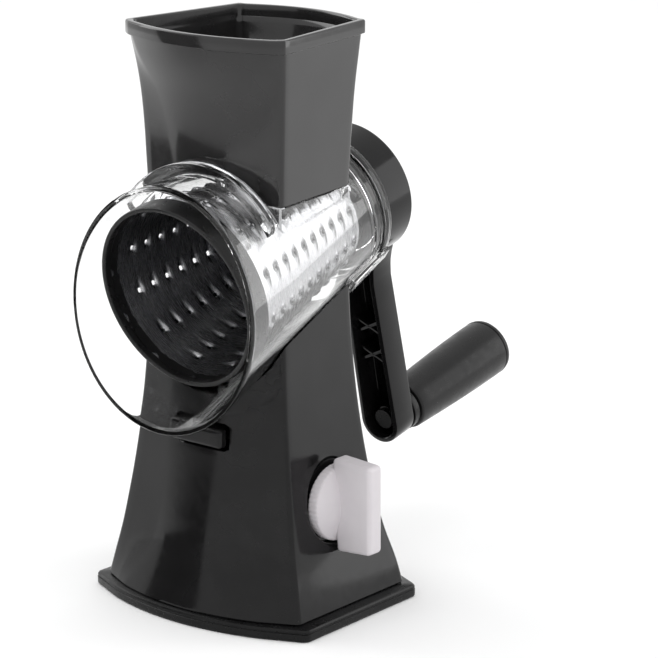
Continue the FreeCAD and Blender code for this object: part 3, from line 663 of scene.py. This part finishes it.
def hopper():
    """Outer wall, flange with rounded lips, inner wall, and a foot cut to the barrel."""
    outer, inner = upright_wall(HOPPER, 0, REAR_BOW), upright_wall(HOPPER, HOPPER_WALL, REAR_BOW)
    climb = np.linspace(0, 1, 44)[:, None]
    walls, feet = [], []
    for wall in (outer, inner):
        foot = end_height(wall, 200.0, 0.05, True, HOPPER_Z)
        walls.append(wall(foot + 0.5 + (RIM_Z0 - 1.2 - foot) * climb))
        feet.append(wall(foot)[0])
    flange = plan_rows(RIM, RIM_LIP, REAR_BOW, 1.6, 1.2)
    foot = np.stack([feet[0] * (1 - q) + feet[1] * q for q in (0.8, 0.2)])
    return [skin(np.concatenate([walls[0], flange, walls[1][::-1], foot]), along=True)]


make_piece("hopper_shell", hopper(), "stand", hopper_gloss_painted_lighter, ("hopper",))

# %% [markdown]
# ## The foot plate
#
# The plate that shows under the dark groove is the rim of the suction foot.  The same outline is
# carried up over its rounded edge, in under the tower, and then becomes a circle round the well of
# the suction stud, so underneath there is a real recess for the rubber pad.

# %% Foot plate
PLATE = (64.9, 40.6, 63.5, 44.0, 50.0, 57.6)
PAD_R, WELL_R, STUD_R = 43.0, 24.0, 4.05
# inset from the plate's outline, and height
PLATE_EDGE = np.array([(1.4, 0.0), (0.5, 0.2), (0.1, 0.7), (0.0, 1.5), (0.0, 3.7), (0.35, 3.95),
                       (0.4, 4.25), (0.1, 4.5), (0.12, 5.1), (0.5, 5.75), (1.2, 6.0), (10.9, 6.0),
                       (11.4, 6.2), (11.5, 6.7), (11.5, 10.9), (12.0, 11.5)])


def foot_plate():
    """Rows at an inset from the plate's outline, then rows on circles at the same bearing."""
    rows = plan_rows(PLATE, PLATE_EDGE, 1.0, 2.6, 3.0)
    bearing = np.arctan2(rows[0, :, 1], rows[0, :, 0])
    circles = np.array([(WELL_R + 2.5, 11.5), (WELL_R + 2.5, 14.0), (WELL_R + 2.0, 14.5), (STUD_R, 14.5),
                        (STUD_R, 11.5), (WELL_R, 11.5), (WELL_R, 4.0), (PAD_R + 1, 4.0), (PAD_R + 1, 0.0)])
    r, z = circles[:, :1], circles[:, 1:]
    wells = np.stack([r * np.cos(bearing), r * np.sin(bearing), z + 0 * bearing], -1)
    return [skin(np.concatenate([rows, wells]), along=True)]


make_piece("foot_plate", foot_plate(), "stand", foot_black, ("base_plate",))

# %% [markdown]
# ## The clear barrel
#
# The barrel is one closed wall: an outer cone from the mouth to the rear, a rear face with a
# bearing, and an inner cone back to the mouth.  The mouth is cut upright rather than square to the
# axis, and so is the thick bridge that stands in front of the hopper, so rows near them follow
# upright planes.  A block of cells under the hopper is left out and a neck rises from its border.

# %% Barrel
MOUTH_Y, MOUTH_Z, MOUTH_LEAN = -63.8, 149.4, math.tan(math.radians(2.0))
BRIDGE_Y, BRIDGE_RISE = (-38.5, -33.4), 6.0
NECK_S = 41.0
BEARING_R = 9.0
NECK_PLAN = (40.5, 28.2, 33.0, 19.6, 30.8, 32.4)
LIP, EDGE = 0.7, 0.5
# distance along the axis and height over the cone: a rib, then the collar at the rear
REAR_BANDS = ((43.6, 0.0), (43.8, 0.35), (44.1, 0.5), (45.6, 0.5), (45.9, 0.35), (46.1, 0.0),
              (51.2, 0.0), (51.4, 0.8), (51.8, 1.4), (52.3, 1.6), (56.7, 1.6), (57.2, 1.4), (57.5, 0.9))
# distance along the axis and radius: the rear face, its groove, the bearing and the inside
REAR_FACE = ((57.5, 30.0), (57.2, 29.7), (57.2, 26.4), (57.5, 26.1), (57.5, 12.6), (57.5, BEARING_R),
             (48.5, BEARING_R), (48.5, 12.0), (54.6, 12.0), (55.3, 12.7), (55.3, 29.4))
NECK_RINGS = ((-0.5, "foot"), (0.0, "root"), (0.0, "top"), (0.35, "lip"), (BARREL_WALL - 0.35, "lip"),
              (BARREL_WALL, "top"), (BARREL_WALL, "inside"))


def around_axis(angle, r, s):
    """Point at a bearing from +X towards up, a radius, and a distance along the axis."""
    return lay_on_axis(np.stack(np.broadcast_arrays(r * np.cos(angle), r * np.sin(angle), s), -1))


def s_on_plane(angle, wall_r, y0, z0=0.0, lean=0.0):
    """Distance along the axis at which a cone's line meets the plane y = y0 + (z - z0) lean."""
    a = R_ZERO + wall_r
    pull = np.sin(angle) * (SIN + lean * COS)
    return (y0 + (AXIS_Z - z0) * lean + a * pull) / (COS - lean * SIN + SHRINK * pull)


def neck(outer_border, inner_border):
    """Rings from the outer border up the neck, over its lip and down to the inner border."""
    bearing = np.arctan2(outer_border[:, 1], outer_border[:, 0])
    rings = [outer_border]
    for inset, kind in NECK_RINGS:
        outline = plan([NECK_PLAN], inset, REAR_BOW)[0]
        turn = np.arctan2(outline[:, 1], outline[:, 0])
        order = np.argsort(turn)
        reach = np.interp(bearing, turn[order], np.hypot(*outline.T)[order], period=2 * np.pi)
        x, y = reach * np.cos(bearing), reach * np.sin(bearing)
        skin_z = cone_height(x, y, 0.0, True)
        z = {"foot": skin_z, "root": skin_z + 0.5, "top": np.maximum(skin_z + 0.6, HOPPER_Z - 0.5),
             "lip": np.maximum(skin_z + 0.65, HOPPER_Z - 0.1),
             "inside": cone_height(x, y, -BARREL_WALL, True)}[kind]
        rings.append(np.stack([x, y, z], -1))
    return np.stack([*rings, inner_border])


# %% Barrel mesh
def barrel():
    """Outer cone, bridge, rear rings, bearing, inner cone, and the neck under the hopper."""
    columns = 240
    angle = np.linspace(0, 2 * np.pi, columns, endpoint=False)
    mouth = s_on_plane(angle, 0, MOUTH_Y, MOUTH_Z, MOUTH_LEAN)
    bridge = [s_on_plane(angle, 0, y) for y in BRIDGE_Y]
    from_up = np.abs(angle - np.pi / 2)
    span = np.clip((np.radians(57) - from_up) / np.radians(2.5), 0, 1)
    rise = BRIDGE_RISE * span * span * (3 - 2 * span)
    rows_s, rows_r = [], []

    def row(s, extra=0.0, r=None):
        s = s + 0 * angle
        rows_s.append(s)
        rows_r.append(R_ZERO - SHRINK * s + extra if r is None else r + 0 * angle)

    for ds, dr in ((0.0, -LIP), (0.2, -0.2), (LIP, 0.0)):
        row(mouth + ds, dr)
    for q in np.linspace(0, 1, 10)[1:-1]:
        row((mouth + LIP) * (1 - q) + (bridge[0] - 0.05) * q)
    corner = ((-0.05, 0.0), (0.0, rise - EDGE * span), (0.15, rise - 0.15 * span), (EDGE, rise))
    for ds, up in corner:
        row(bridge[0] + ds, up)
    for ds, up in corner[::-1]:
        row(bridge[1] - ds, up)
    first_neck = len(rows_s) - 1
    for q in np.linspace(0, 1, 26)[1:]:
        row((bridge[1] + 0.05) * (1 - q) + NECK_S * q)
    last_neck = len(rows_s) - 1
    for s, extra in REAR_BANDS:
        row(s, extra)
    outer_rows = len(rows_s)
    for s, r in REAR_FACE:
        row(s, r=r)
    row(54.6, -BARREL_WALL)
    rear_rows = len(rows_s)
    for k in range(outer_rows - 8, 2, -1):
        row(rows_s[k], -BARREL_WALL)
    inner_mouth = s_on_plane(angle, -BARREL_WALL, MOUTH_Y, MOUTH_Z, MOUTH_LEAN)
    row(inner_mouth + LIP, -BARREL_WALL)
    row(inner_mouth + 0.2, -BARREL_WALL + 0.2)
    row(inner_mouth, -BARREL_WALL + LIP)
    s, r = np.array(rows_s), np.array(rows_r)
    wall = around_axis(angle, r, s)
    # the neck's block of cells, outside and inside
    half = np.radians(68)
    block = tuple(int(round(a / (2 * np.pi) * columns)) for a in (np.pi / 2 - half, np.pi / 2 + half))
    outer_block = (first_neck, last_neck)
    inner_last = rear_rows + (outer_rows - 8 - first_neck)
    inner_first = rear_rows + (outer_rows - 8 - last_neck)
    keep = np.ones((len(s), columns), bool)
    keep[first_neck:last_neck, block[0]:block[1]] = False
    keep[inner_first:inner_last, block[0]:block[1]] = False
    outer_border = ring_of(wall, outer_block, block)
    mirrored = wall.copy()
    mirrored[first_neck:last_neck + 1] = wall[inner_first:inner_last + 1][::-1]
    inner_border = ring_of(mirrored, outer_block, block)
    return [skin(wall, along=True, keep=keep), skin(neck(outer_border, inner_border))]


# %% Barrel lugs
LUG_S, LUG_TURN, LUG_HALF, LUG_RISE = 24.6, math.radians(37.0), 3.6, 3.1


def lugs():
    """Two rounded bars along the cone, the left one mirrored; their radius follows the cone."""
    skins = []
    for side in (-1, 1):
        for block in rounded_block((0.3, -LUG_HALF, LUG_S), (LUG_RISE, LUG_HALF, REAR_S - 0.1), 0.9, 8):
            s, across = block[..., 2], block[..., 1]
            r = R_ZERO - SHRINK * s + block[..., 0]
            x = r * math.cos(LUG_TURN) + across * math.sin(LUG_TURN)
            y = -r * math.sin(LUG_TURN) + across * math.cos(LUG_TURN)
            skins.append(skin(lay_on_axis(np.stack([side * x, y, s], -1)), around=False))
    return skins


make_piece("clear_barrel", barrel() + lugs(), "stand", clear_barrel, ("barrel_housing",), sharp=28.0)

# %% [markdown]
# ## The grating drum
#
# The drum is a rolled steel cone with twelve rows of ten punched teeth.  Each tooth is a small
# ridge that rises towards its hole.  The whole cone is one grid whose lines gather round the teeth:
# a point is moved out from the cone by the height of the ridge it lies on, and the cells inside the
# holes are left out.  An inner grid at the sheet's thickness closes it.

# %% Drum cone
RING_S, RING_LEN, RING_R = -56.0, 12.0, 43.6
CONE_END_S, CONE_END_R, STEEL = 41.0, 27.3, 0.6
TOOTH_ROWS, TEETH_PER_ROW = 12, 10
HOLE_R, TOOTH_RISE, TOOTH_TAIL, TOOTH_HALF = 1.15, 1.15, 7.0, 1.75
# share of painted shade given to the drum's inner lining
LINING_PAINTED_SHADE, FAR_FROM_TEETH = 0.45, 9.0
TAIL_START, TAIL_END = 1.35, 6.9
CONE_START_S = RING_S + RING_LEN
CONE_START_R = RING_R - 1.6
FIRST_TOOTH = CONE_START_S + 6.0
TOOTH_PITCH = (CONE_END_S - 5.0 - FIRST_TOOTH) / (TEETH_PER_ROW - 1)


def drum_r(s):
    """Outer radius of the plain cone at distance s."""
    share = (s - CONE_START_S) / (CONE_END_S - CONE_START_S)
    return CONE_START_R + (CONE_END_R - CONE_START_R) * share


def tooth_height(p, q):
    """Ridge height: a smooth rise along its tail times 1 - (q / w)^2, steeper on one side.

    p runs round the drum from the hole, q along the axis, and w narrows towards the tail's tip.
    """
    climb = np.clip((p + TOOTH_TAIL) / (TOOTH_TAIL - 0.9), 0, 1)
    fall = np.clip((2.6 - p) / 1.6, 0, 1)
    lean = np.where(q < 0, 0.82, 1.18)
    width = TOOTH_HALF * (0.45 + 0.55 * climb) * lean
    across = np.clip(1 - (q / width) ** 2, 0, 1)
    return TOOTH_RISE * climb ** 1.25 * fall * fall * (3 - 2 * fall) * across


def drum():
    """Outer and inner grids of the cone, with the walls of the holes between them."""
    across = np.array([-2.3, -1.75, -1.3, -HOLE_R * 0.5 - 0.4, -HOLE_R * 0.4, 0.0, HOLE_R * 0.4,
                       HOLE_R * 0.5 + 0.4, 1.45, 2.1, 2.8])
    centres = FIRST_TOOTH + TOOTH_PITCH * np.arange(TEETH_PER_ROW)
    s = (centres[:, None] + across).ravel()
    q = np.tile(across, TEETH_PER_ROW)
    ends = np.array([RING_S + 3.2, CONE_START_S - 2.0, CONE_START_S + 1.5])
    s = np.concatenate([ends, s, [CONE_END_S - 1.0, CONE_END_S]])
    q = np.concatenate([ends * 0 - FAR_FROM_TEETH, q, [FAR_FROM_TEETH] * 2])
    around = np.array([-6.9, -5.6, -4.4, -3.3, -2.2, -1.35, -0.95, -0.35, 0.35, 0.95, 1.5, 2.5, 5.0])
    half_angle = np.pi / TOOTH_ROWS
    radius = drum_r(s)[:, None]
    tail = np.minimum(TAIL_END, radius * half_angle - 0.4)
    stretch = (tail - TAIL_START) / (TAIL_END - TAIL_START)
    p = np.where(around < -TAIL_START, -TAIL_START + (around + TAIL_START) * stretch, around)
    start = -radius * half_angle
    p = np.concatenate([start, p], axis=1)
    q = q[:, None] + 0 * p
    in_hole = (np.abs(p) < 1.0) & (np.abs(q) < 1.02)
    u, v = np.where(in_hole, p / 0.95, 0), np.where(in_hole, q / 0.975, 0)
    p_round = np.where(in_hole, HOLE_R * u * np.sqrt(np.maximum(1 - v * v / 2, 0)), p)
    q_round = np.where(in_hole, HOLE_R * v * np.sqrt(np.maximum(1 - u * u / 2, 0)), q)
    height = tooth_height(p_round, q_round)
    along = s[:, None] + q_round - q
    sector = 2 * half_angle * (np.arange(TOOTH_ROWS) + 0.5)
    angle = (sector[None, :, None] + (p_round / radius)[:, None, :]).reshape(len(s), -1)
    rise = np.tile(height, (1, TOOTH_ROWS))
    along = np.tile(along, (1, TOOTH_ROWS))
    outer = around_axis(angle, drum_r(along) + rise, along)
    inner = around_axis(angle, drum_r(along) + rise * 0.85 - STEEL, along)
    centre_p = (p[:, :-1] + p[:, 1:]) / 2
    centre_p = np.concatenate([centre_p, p[:, -1:] + FAR_FROM_TEETH], axis=1)
    centre_q = (q[:-1] + q[1:]) / 2
    hole = (np.abs(centre_p[:-1]) < 1.0) & (np.abs(centre_q) < 1.0) & (np.abs(np.diff(q, axis=0)) < 2)
    hole = np.tile(hole, (1, TOOTH_ROWS))
    rims = []
    columns = outer.shape[1]
    full = np.pad(hole, ((1, 1), (0, 0)))
    for di, dj in ((0, 1), (0, -1), (1, 0), (-1, 0)):
        edge = full[1:-1] & ~np.roll(full, (-di, -dj), (0, 1))[1:-1]
        i, j = np.nonzero(edge)
        if dj:
            column = (j + (dj > 0)) % columns
            pairs = ((i, column), (i + 1, column))
        else:
            line = i + (di > 0)
            pairs = ((line, j), (line, (j + 1) % columns))
        quads = np.stack([outer[pairs[0]], outer[pairs[1]], inner[pairs[1]], inner[pairs[0]]], 1)
        rims.append((quads.reshape(-1, 3), np.arange(len(quads) * 4).reshape(-1, 4).tolist()))
    brims = [skin(np.stack([outer[k], inner[k]])) for k in (0, -1)]
    # painted shade: a dark band is painted down one flank of each ridge and round its hole, and the inner
    # lining is painted partly dark, standing in for the shade in those places
    flank = np.clip(1.5 - np.abs(q_round - 1.0) / 0.75, 0, 1)
    flank = flank * np.clip((p_round + 6.2) / 1.5, 0, 1) * (p_round < -0.5)
    hole_painted_shade = np.clip(2.2 - np.hypot(p_round, q_round) / HOLE_R, 0, 1)
    crease = np.tile(np.maximum(flank, hole_painted_shade), (1, TOOTH_ROWS))
    crease = np.concatenate([crease.ravel(), np.full(inner.size // 3, LINING_PAINTED_SHADE)])
    return [skin(outer, keep=~hole), skin(inner, keep=~hole), *rims, *brims], crease


# the drum's crease values are painted shade, read by its steel finish
drum_skins, drum_painted_shade = drum()
make_piece("grating_drum", drum_skins, "drum", drum_steel, ("drum_cone",), 38.0, drum_painted_shade)

# %% [markdown]
# ## The drum's front ring
#
# A black ring is moulded on the drum's open end.  It is a turned shape, so one rounded profile spun
# about the axis is enough.

# %% Front ring
def front_ring():
    """A spun profile: a rounded band outside, a thick lip in front, and a rebate for the steel."""
    inner = drum_r(RING_S) - 2.6
    corners = [(drum_r(CONE_START_S) - 0.1, CONE_START_S - 4), (drum_r(CONE_START_S) - 0.1, CONE_START_S),
               (RING_R - 0.3, CONE_START_S), (RING_R, CONE_START_S - 2), (RING_R, RING_S),
               (inner, RING_S), (inner - 0.4, RING_S + 4), (drum_r(RING_S + 4) - STEEL, RING_S + 4),
               (drum_r(CONE_START_S) - 0.1, CONE_START_S - 4)]
    return [skin(lay_on_axis(turned(rounded_profile(corners, 0.9), 144)), along=True)]


make_piece("drum_ring", front_ring(), "drum", black_satin, ("drum_front_ring",))

# %% [markdown]
# ## The crank
#
# The crank is a round cup behind the barrel, an arm that hangs from it, and a grip that turns on a
# pin.  The arm is open towards the front, with two crossed ribs in the pocket and a boss round the
# pin.  A grip is a spun profile, slightly fuller towards its free end.

# %% Cup and arm
CUP_S, CUP_LEN, CUP_R = 59.0, 18.0, 32.5
ARM_S, ARM_T, ARM_W, THROW = 66.0, 15.0, 22.0, 121.5
SPINDLE_R, HUB_R = 6.0, 14.0
FLARE_DOWN, FLARE_HALF = (30.0, 34.0, 39.0, 46.0), (14.0, 12.4, 10.9, 9.9)
POCKET_WALL, POCKET_TOP, PIN_HEAD_S = 2.6, 30.0, 6.0
RIB_CENTRES, RIB_LEAN = (71.0, 86.0), 65.0


def cup():
    """Spun cup with a rounded shoulder and a shallow hollow behind."""
    back = CUP_S + CUP_LEN
    corners = [(SPINDLE_R, CUP_S + 1), (28.5, CUP_S + 1), (29.2, CUP_S), (CUP_R, CUP_S), (CUP_R, back),
               (24.0, back), (23.0, back - 1.2), (SPINDLE_R, back - 1.2)]
    profile = np.concatenate([rounded_profile(corners[:4], 0.6), rounded_profile(corners[3:6], 1.6, 8)[1:],
                              rounded_profile(corners[5:], 0.6)[1:]])
    return [skin(lay_on_axis(turned(profile, 128) * [1, -1, 1])[::-1], along=True)]


def arm_outline(inset):
    """Round end, flank and flare up one side, round hub, and down the other; Y is downwards."""
    a = np.linspace(0, np.pi, 25)
    end_r, hub_r = ARM_W / 2 - inset, HUB_R - inset
    end = np.stack([end_r * np.cos(a), THROW + end_r * np.sin(a)], -1)
    hub = np.stack([-hub_r * np.cos(a), -hub_r * np.sin(a)], -1)
    down = np.concatenate([np.linspace(THROW, FLARE_DOWN[-1], 12)[1:-1],
                           np.linspace(FLARE_DOWN[-1], FLARE_DOWN[0], 9), [HUB_R + 1]])
    half = np.interp(down, (0, *FLARE_DOWN, THROW), (HUB_R, *FLARE_HALF, ARM_W / 2)) - inset
    flank = np.stack([half, down], -1)
    return np.concatenate([end, flank * [-1, 1], hub, flank[::-1]])


def pocket_outline(inset):
    """The arm's outline drawn in, with its upper part pulled down to a straight shoulder."""
    outline = arm_outline(POCKET_WALL + inset)
    outline[:, 1] = np.maximum(outline[:, 1], POCKET_TOP + inset)
    return outline


def at_level(outline, s):
    """Lay an outline on the axis at distance s; outlines are written with Y downwards."""
    return lay_on_axis(np.stack([outline[:, 0], -outline[:, 1], np.full(len(outline), s)], -1))


def arm():
    """Rounded slab, pocket, boss, and two pairs of crossed ribs."""
    back = ARM_S + ARM_T
    # each flat face closes on the arm's middle line, where its two halves meet
    rows = [at_level(arm_outline(3.0) * [0, 1], back)]
    rows += [at_level(arm_outline(i), s) for i, s in (
        (3.0, back), (1.2, back - 0.25), (0.35, back - 0.9), (0.0, back - 2.0), (0.0, ARM_S + 1.2),
        (0.2, ARM_S + 0.4), (0.9, ARM_S))]
    rows += [at_level(pocket_outline(i), s) for i, s in (
        (-0.4, ARM_S), (-0.05, ARM_S + 0.3), (0.1, ARM_S + 1.0), (0.3, back - 3.15), (0.45, back - 3.0))]
    rows.append(at_level(pocket_outline(0.45) * [0, 1], back - 3.0))
    skins = [skin(np.stack(rows))]
    seat = ARM_S + PIN_HEAD_S
    boss = rounded_profile([(0.1, back - 3.5), (6.0, back - 3.5), (6.0, seat), (3.4, seat), (3.4, seat + 1),
                            (0.1, seat + 1)], 0.5)
    boss_points = turned(boss, 40)
    boss_points[..., 1] += -THROW
    skins.append(skin(lay_on_axis(boss_points), first=True, last=True))
    for centre in RIB_CENTRES:
        for lean in (RIB_LEAN, -RIB_LEAN):
            turn = math.radians(lean)
            length = (FLARE_HALF[-1] - 1.2) / math.sin(math.radians(RIB_LEAN))
            for side in rounded_block((-0.85, -length, ARM_S + 3.2), (0.85, length, back - 2.5), 0.45, 4):
                x = side[..., 0] * math.cos(turn) - side[..., 1] * math.sin(turn)
                y = side[..., 0] * math.sin(turn) + side[..., 1] * math.cos(turn) - centre
                skins.append(skin(lay_on_axis(np.stack([x, y, side[..., 2]], -1)), around=False))
    return skins


make_piece("crank_cup_shell", cup(), "crank", black_gloss, ("crank_cup",))
make_piece("crank_arm_shell", arm(), "crank", black_gloss, ("crank_arm",))

# %% Grip
GRIP_R, GRIP_END_R, PIN_R = 12.4, 14.6, 3.1
GRIP_LEN, GAP, COLLAR = 76.0, 0.4, 4.0


def grip():
    """Spun sleeve: rounded shoulder, a slow swell, a fine seam before the domed cap."""
    start = ARM_S + ARM_T + COLLAR + GAP
    end = ARM_S + ARM_T + GRIP_LEN
    q = np.linspace(0, 1, 14)
    swell = GRIP_R + (GRIP_END_R - GRIP_R) * np.sin(q * np.pi / 2) - 0.1 * q
    body = np.stack([swell, start + 1.4 + (end - 6.6 - start) * q], -1).tolist()
    rim = GRIP_END_R
    shoulder = [(PIN_R, start), (GRIP_R - 1.4, start), (GRIP_R - 0.6, start + 0.25),
                (GRIP_R - 0.15, start + 0.8)]
    cap = [(rim - 0.15, end - 4.7), (rim - 0.5, end - 4.5), (rim - 0.5, end - 4.2), (rim - 0.15, end - 4.0),
           (rim - 0.05, end - 3.4), (rim - 0.4, end - 1.9), (rim - 1.4, end - 0.9), (rim - 3.6, end - 0.3),
           (6.0, end), (0.05, end + 0.1)]
    points = turned(shoulder + body + cap)
    points[..., 1] -= THROW
    return [skin(lay_on_axis(points), last=True, first=True)]


def collar():
    """Spun washer between the arm and the grip."""
    start, bore, edge = ARM_S + ARM_T, 3.05, ARM_W / 2 + 0.1
    corners = [(bore, start), (edge, start), (edge, start + COLLAR), (bore, start + COLLAR)]
    points = turned(rounded_profile(corners, 0.5), 72)
    points[..., 1] -= THROW
    return [skin(lay_on_axis(points), along=True)]


make_piece("grip", grip(), "grip", black_satin, ("grip_sleeve", "grip_cap"))
make_piece("grip_washer", collar(), "crank", black_satin, ("grip_collar",))

# %% [markdown]
# ## The suction knob
#
# A quarter turn of the grey knob pulls the pad up.  Its disc has fine flutes, its face is slightly
# domed, and a rounded bar stands across it.  The disc is a spun profile whose radius also depends
# on the angle; the bar is a block whose corners are pulled onto a rounding radius.

# %% Knob
KNOB_X, FLUTES, FLUTE_DEPTH, BAR_HALF = 45.5, 48, 0.22, 22.0
# radius and height of the disc
DISC = np.array([(3.0, 0.0), (16.4, 0.0), (17.3, 0.35), (17.8, 1.1), (17.8, 4.9), (17.35, 5.7),
                 (16.5, 6.1), (15.0, 6.6), (12.5, 7.6), (9.0, 8.75), (5.0, 9.6), (0.05, 9.98)])


def knob():
    """Disc with r = R - depth (1 - cos n a) / 2 for n flutes, dome, and a rounded bar."""
    a = np.linspace(0, 2 * np.pi, 8 * FLUTES, endpoint=False)
    flute = FLUTE_DEPTH * (1 - np.cos(FLUTES * a)) / 2
    r = DISC[:, :1] - np.clip((DISC[:, :1] - 16.5) / 0.8, 0, 1) * flute
    disc = np.stack([r * np.cos(a), r * np.sin(a), DISC[:, 1:] + 0 * a], -1)
    skins = [skin(disc, first=True, last=True)]
    low, high = (-BAR_HALF, -4.95, 5.4), (BAR_HALF, 4.95, 26.0)
    for side in rounded_block(low, high, 2.1, 12):
        rise = (side[..., 2] - low[2]) / (high[2] - low[2])
        side[..., 2] += 1.4 * (1 - rise) * side[..., 0] / BAR_HALF
        side[..., 0] *= 1.0 - 0.06 * rise
        side[..., 1] *= 1.0 - 0.04 * rise
        skins.append(skin(side, around=False))
    placed = []
    for points, faces in skins:
        x, y, z = points.T
        placed.append((np.stack([KNOB_X + z, y, KNOB_Z - x], -1), faces))
    return placed


make_piece("knob", knob(), "knob", knob_grey, ("suction_knob",))

# %% [markdown]
# ## The release latch
#
# The latch shows as a small rounded paddle in the tower's window.  Behind it are the pivot eye and
# the hook that holds the barrel's tab, so it is built as a paddle plus the pieces that reach it.

# %% Latch
PIN_Y, PIN_Z = -23.5, 83.0
# low corner, high corner and rounding of the paddle, the neck, the riser and the hook
LATCH_BLOCKS = (((-15.0, -42.0, 81.2), (15.0, -36.5, 90.2), 1.8),
                ((-8.5, -37.5, 82.0), (8.5, -25.0, 86.5), 0.8),
                ((-4.5, -25.8, PIN_Z), (4.5, -22.6, 98.0), 0.6),
                ((-4.5, -23.5, 94.4), (4.5, -17.8, 97.0), 0.6))


def latch():
    """Rounded paddle, neck, pivot eye and hook."""
    skins = [skin(side, around=False) for low, high, r in LATCH_BLOCKS
             for side in rounded_block(low, high, r, 8)]
    eye = turned(rounded_profile([(1.55, -8.5), (3.4, -8.5), (3.4, 8.5), (1.55, 8.5)], 0.3), 40)
    skins.append(skin(np.stack([eye[..., 2], eye[..., 1] + PIN_Y, PIN_Z - eye[..., 0]], -1), along=True))
    return skins


make_piece("latch", latch(), "latch", black_gloss, ("release_latch",))

# %% [markdown]
# ## Finishes for the engineering pieces that stay
#
# The suction mechanism, the fasteners and the bearings are already the right shape, so they only
# get a finish.

# %% Engineering pieces
dress(bright_metal, "base_screws", "bracket_screws", "spindle_screw", "latch_pin", "shaft_clip",
      "return_spring", "drive_spindle")
dress(nylon, "suction_cam", "cam_follower", "pull_stud", "shaft_bush", "barrel_bush")
dress(black_satin, "cam_bracket", "drum_hub", "hub_cap")
dress(foot_black, "grip_pin")
dress(knob_grey, "cam_shaft")
dress(soft_rubber, "suction_pad")

# %% [markdown]
# ## Floor and light
#
# The floor is a plain pale disc.  A pale sky lights it evenly, and large soft panels give the
# polished black its long reflections.

# %% Floor
def stage_sheet(name, sheet, finish_name, cloud, tones, roughness, shine):
    """A matt sheet of the stage, in millimetres, with a faintly cloudy tone."""
    points, faces = sheet
    mesh = bpy.data.meshes.new(name)
    mesh.from_pydata((points * MM).tolist(), [], faces)
    thing = add_object(name, mesh)
    material, tree, shader, place = new_finish(finish_name)
    tone = spread(tree, noise(tree, place, cloud, 2), 0, 1)
    fill(tree, shader, {"Base Color": two_tone(tree, tone, *((t, t, t) for t in tones)),
                        "Roughness": roughness, "Specular IOR Level": shine})
    mesh.materials.append(material)
    print(f"{name}: part of the stage")


FLOOR_R = 9000.0
stage_sheet("floor", skin(turned([(0.001, 0.0), (FLOOR_R, 0.0)], 64)), "paper_floor", 6, (0.93, 0.95),
            0.9, 0.0)

# %% Light
def panel(name, at, towards, width, height, power):
    """A soft rectangular light that faces a point."""
    data = bpy.data.lights.new(name, "AREA")
    data.shape, data.size, data.size_y, data.energy = "RECTANGLE", width, height, power
    light = add_object(name, data)
    light.location = at
    light.rotation_euler = (Vector(towards) - Vector(at)).to_track_quat("-Z", "Y").to_euler()


world = bpy.data.worlds.new("studio")
bpy.context.scene.world = world
world.use_nodes = True
fill(world.node_tree, world.node_tree.nodes["Background"], {"Color": (1, 1, 1, 1), "Strength": 1.0})
bpy.context.scene.view_settings.view_transform = "Standard"
middle = (0, 0, 0.14)
panel("left_panel", (-1.3, -0.3, 0.9), middle, 0.7, 1.3, 7)
panel("right_panel", (0.9, 1.1, 0.5), middle, 0.6, 1.2, 4)
panel("top_panel", (0.1, -0.2, 1.6), middle, 1.2, 1.2, 4)


def dark_card(along, height, near, width):
    """An upright sheet that the front faces mirror: points are out * near + across * u + up * v."""
    across = np.array([math.cos(along), math.sin(along), 0.0])
    out = np.array([math.sin(along), -math.cos(along), 0.0])
    u, v = np.meshgrid(np.linspace(-0.5, 0.5, 2), np.linspace(0, 1, 2), indexing="ij")
    points = (out * near + across * (u[..., None] * width) + np.array([0, 0, height]) * v[..., None]) / MM
    return skin(points, around=False)


# it stands outside the front view, and shows in views from behind
stage_sheet("front_flag", dark_card(math.radians(-44.0), 0.42, 0.62, 0.34), "front_flag_felt", 9,
            (0.10, 0.14), 0.95, 0.5)
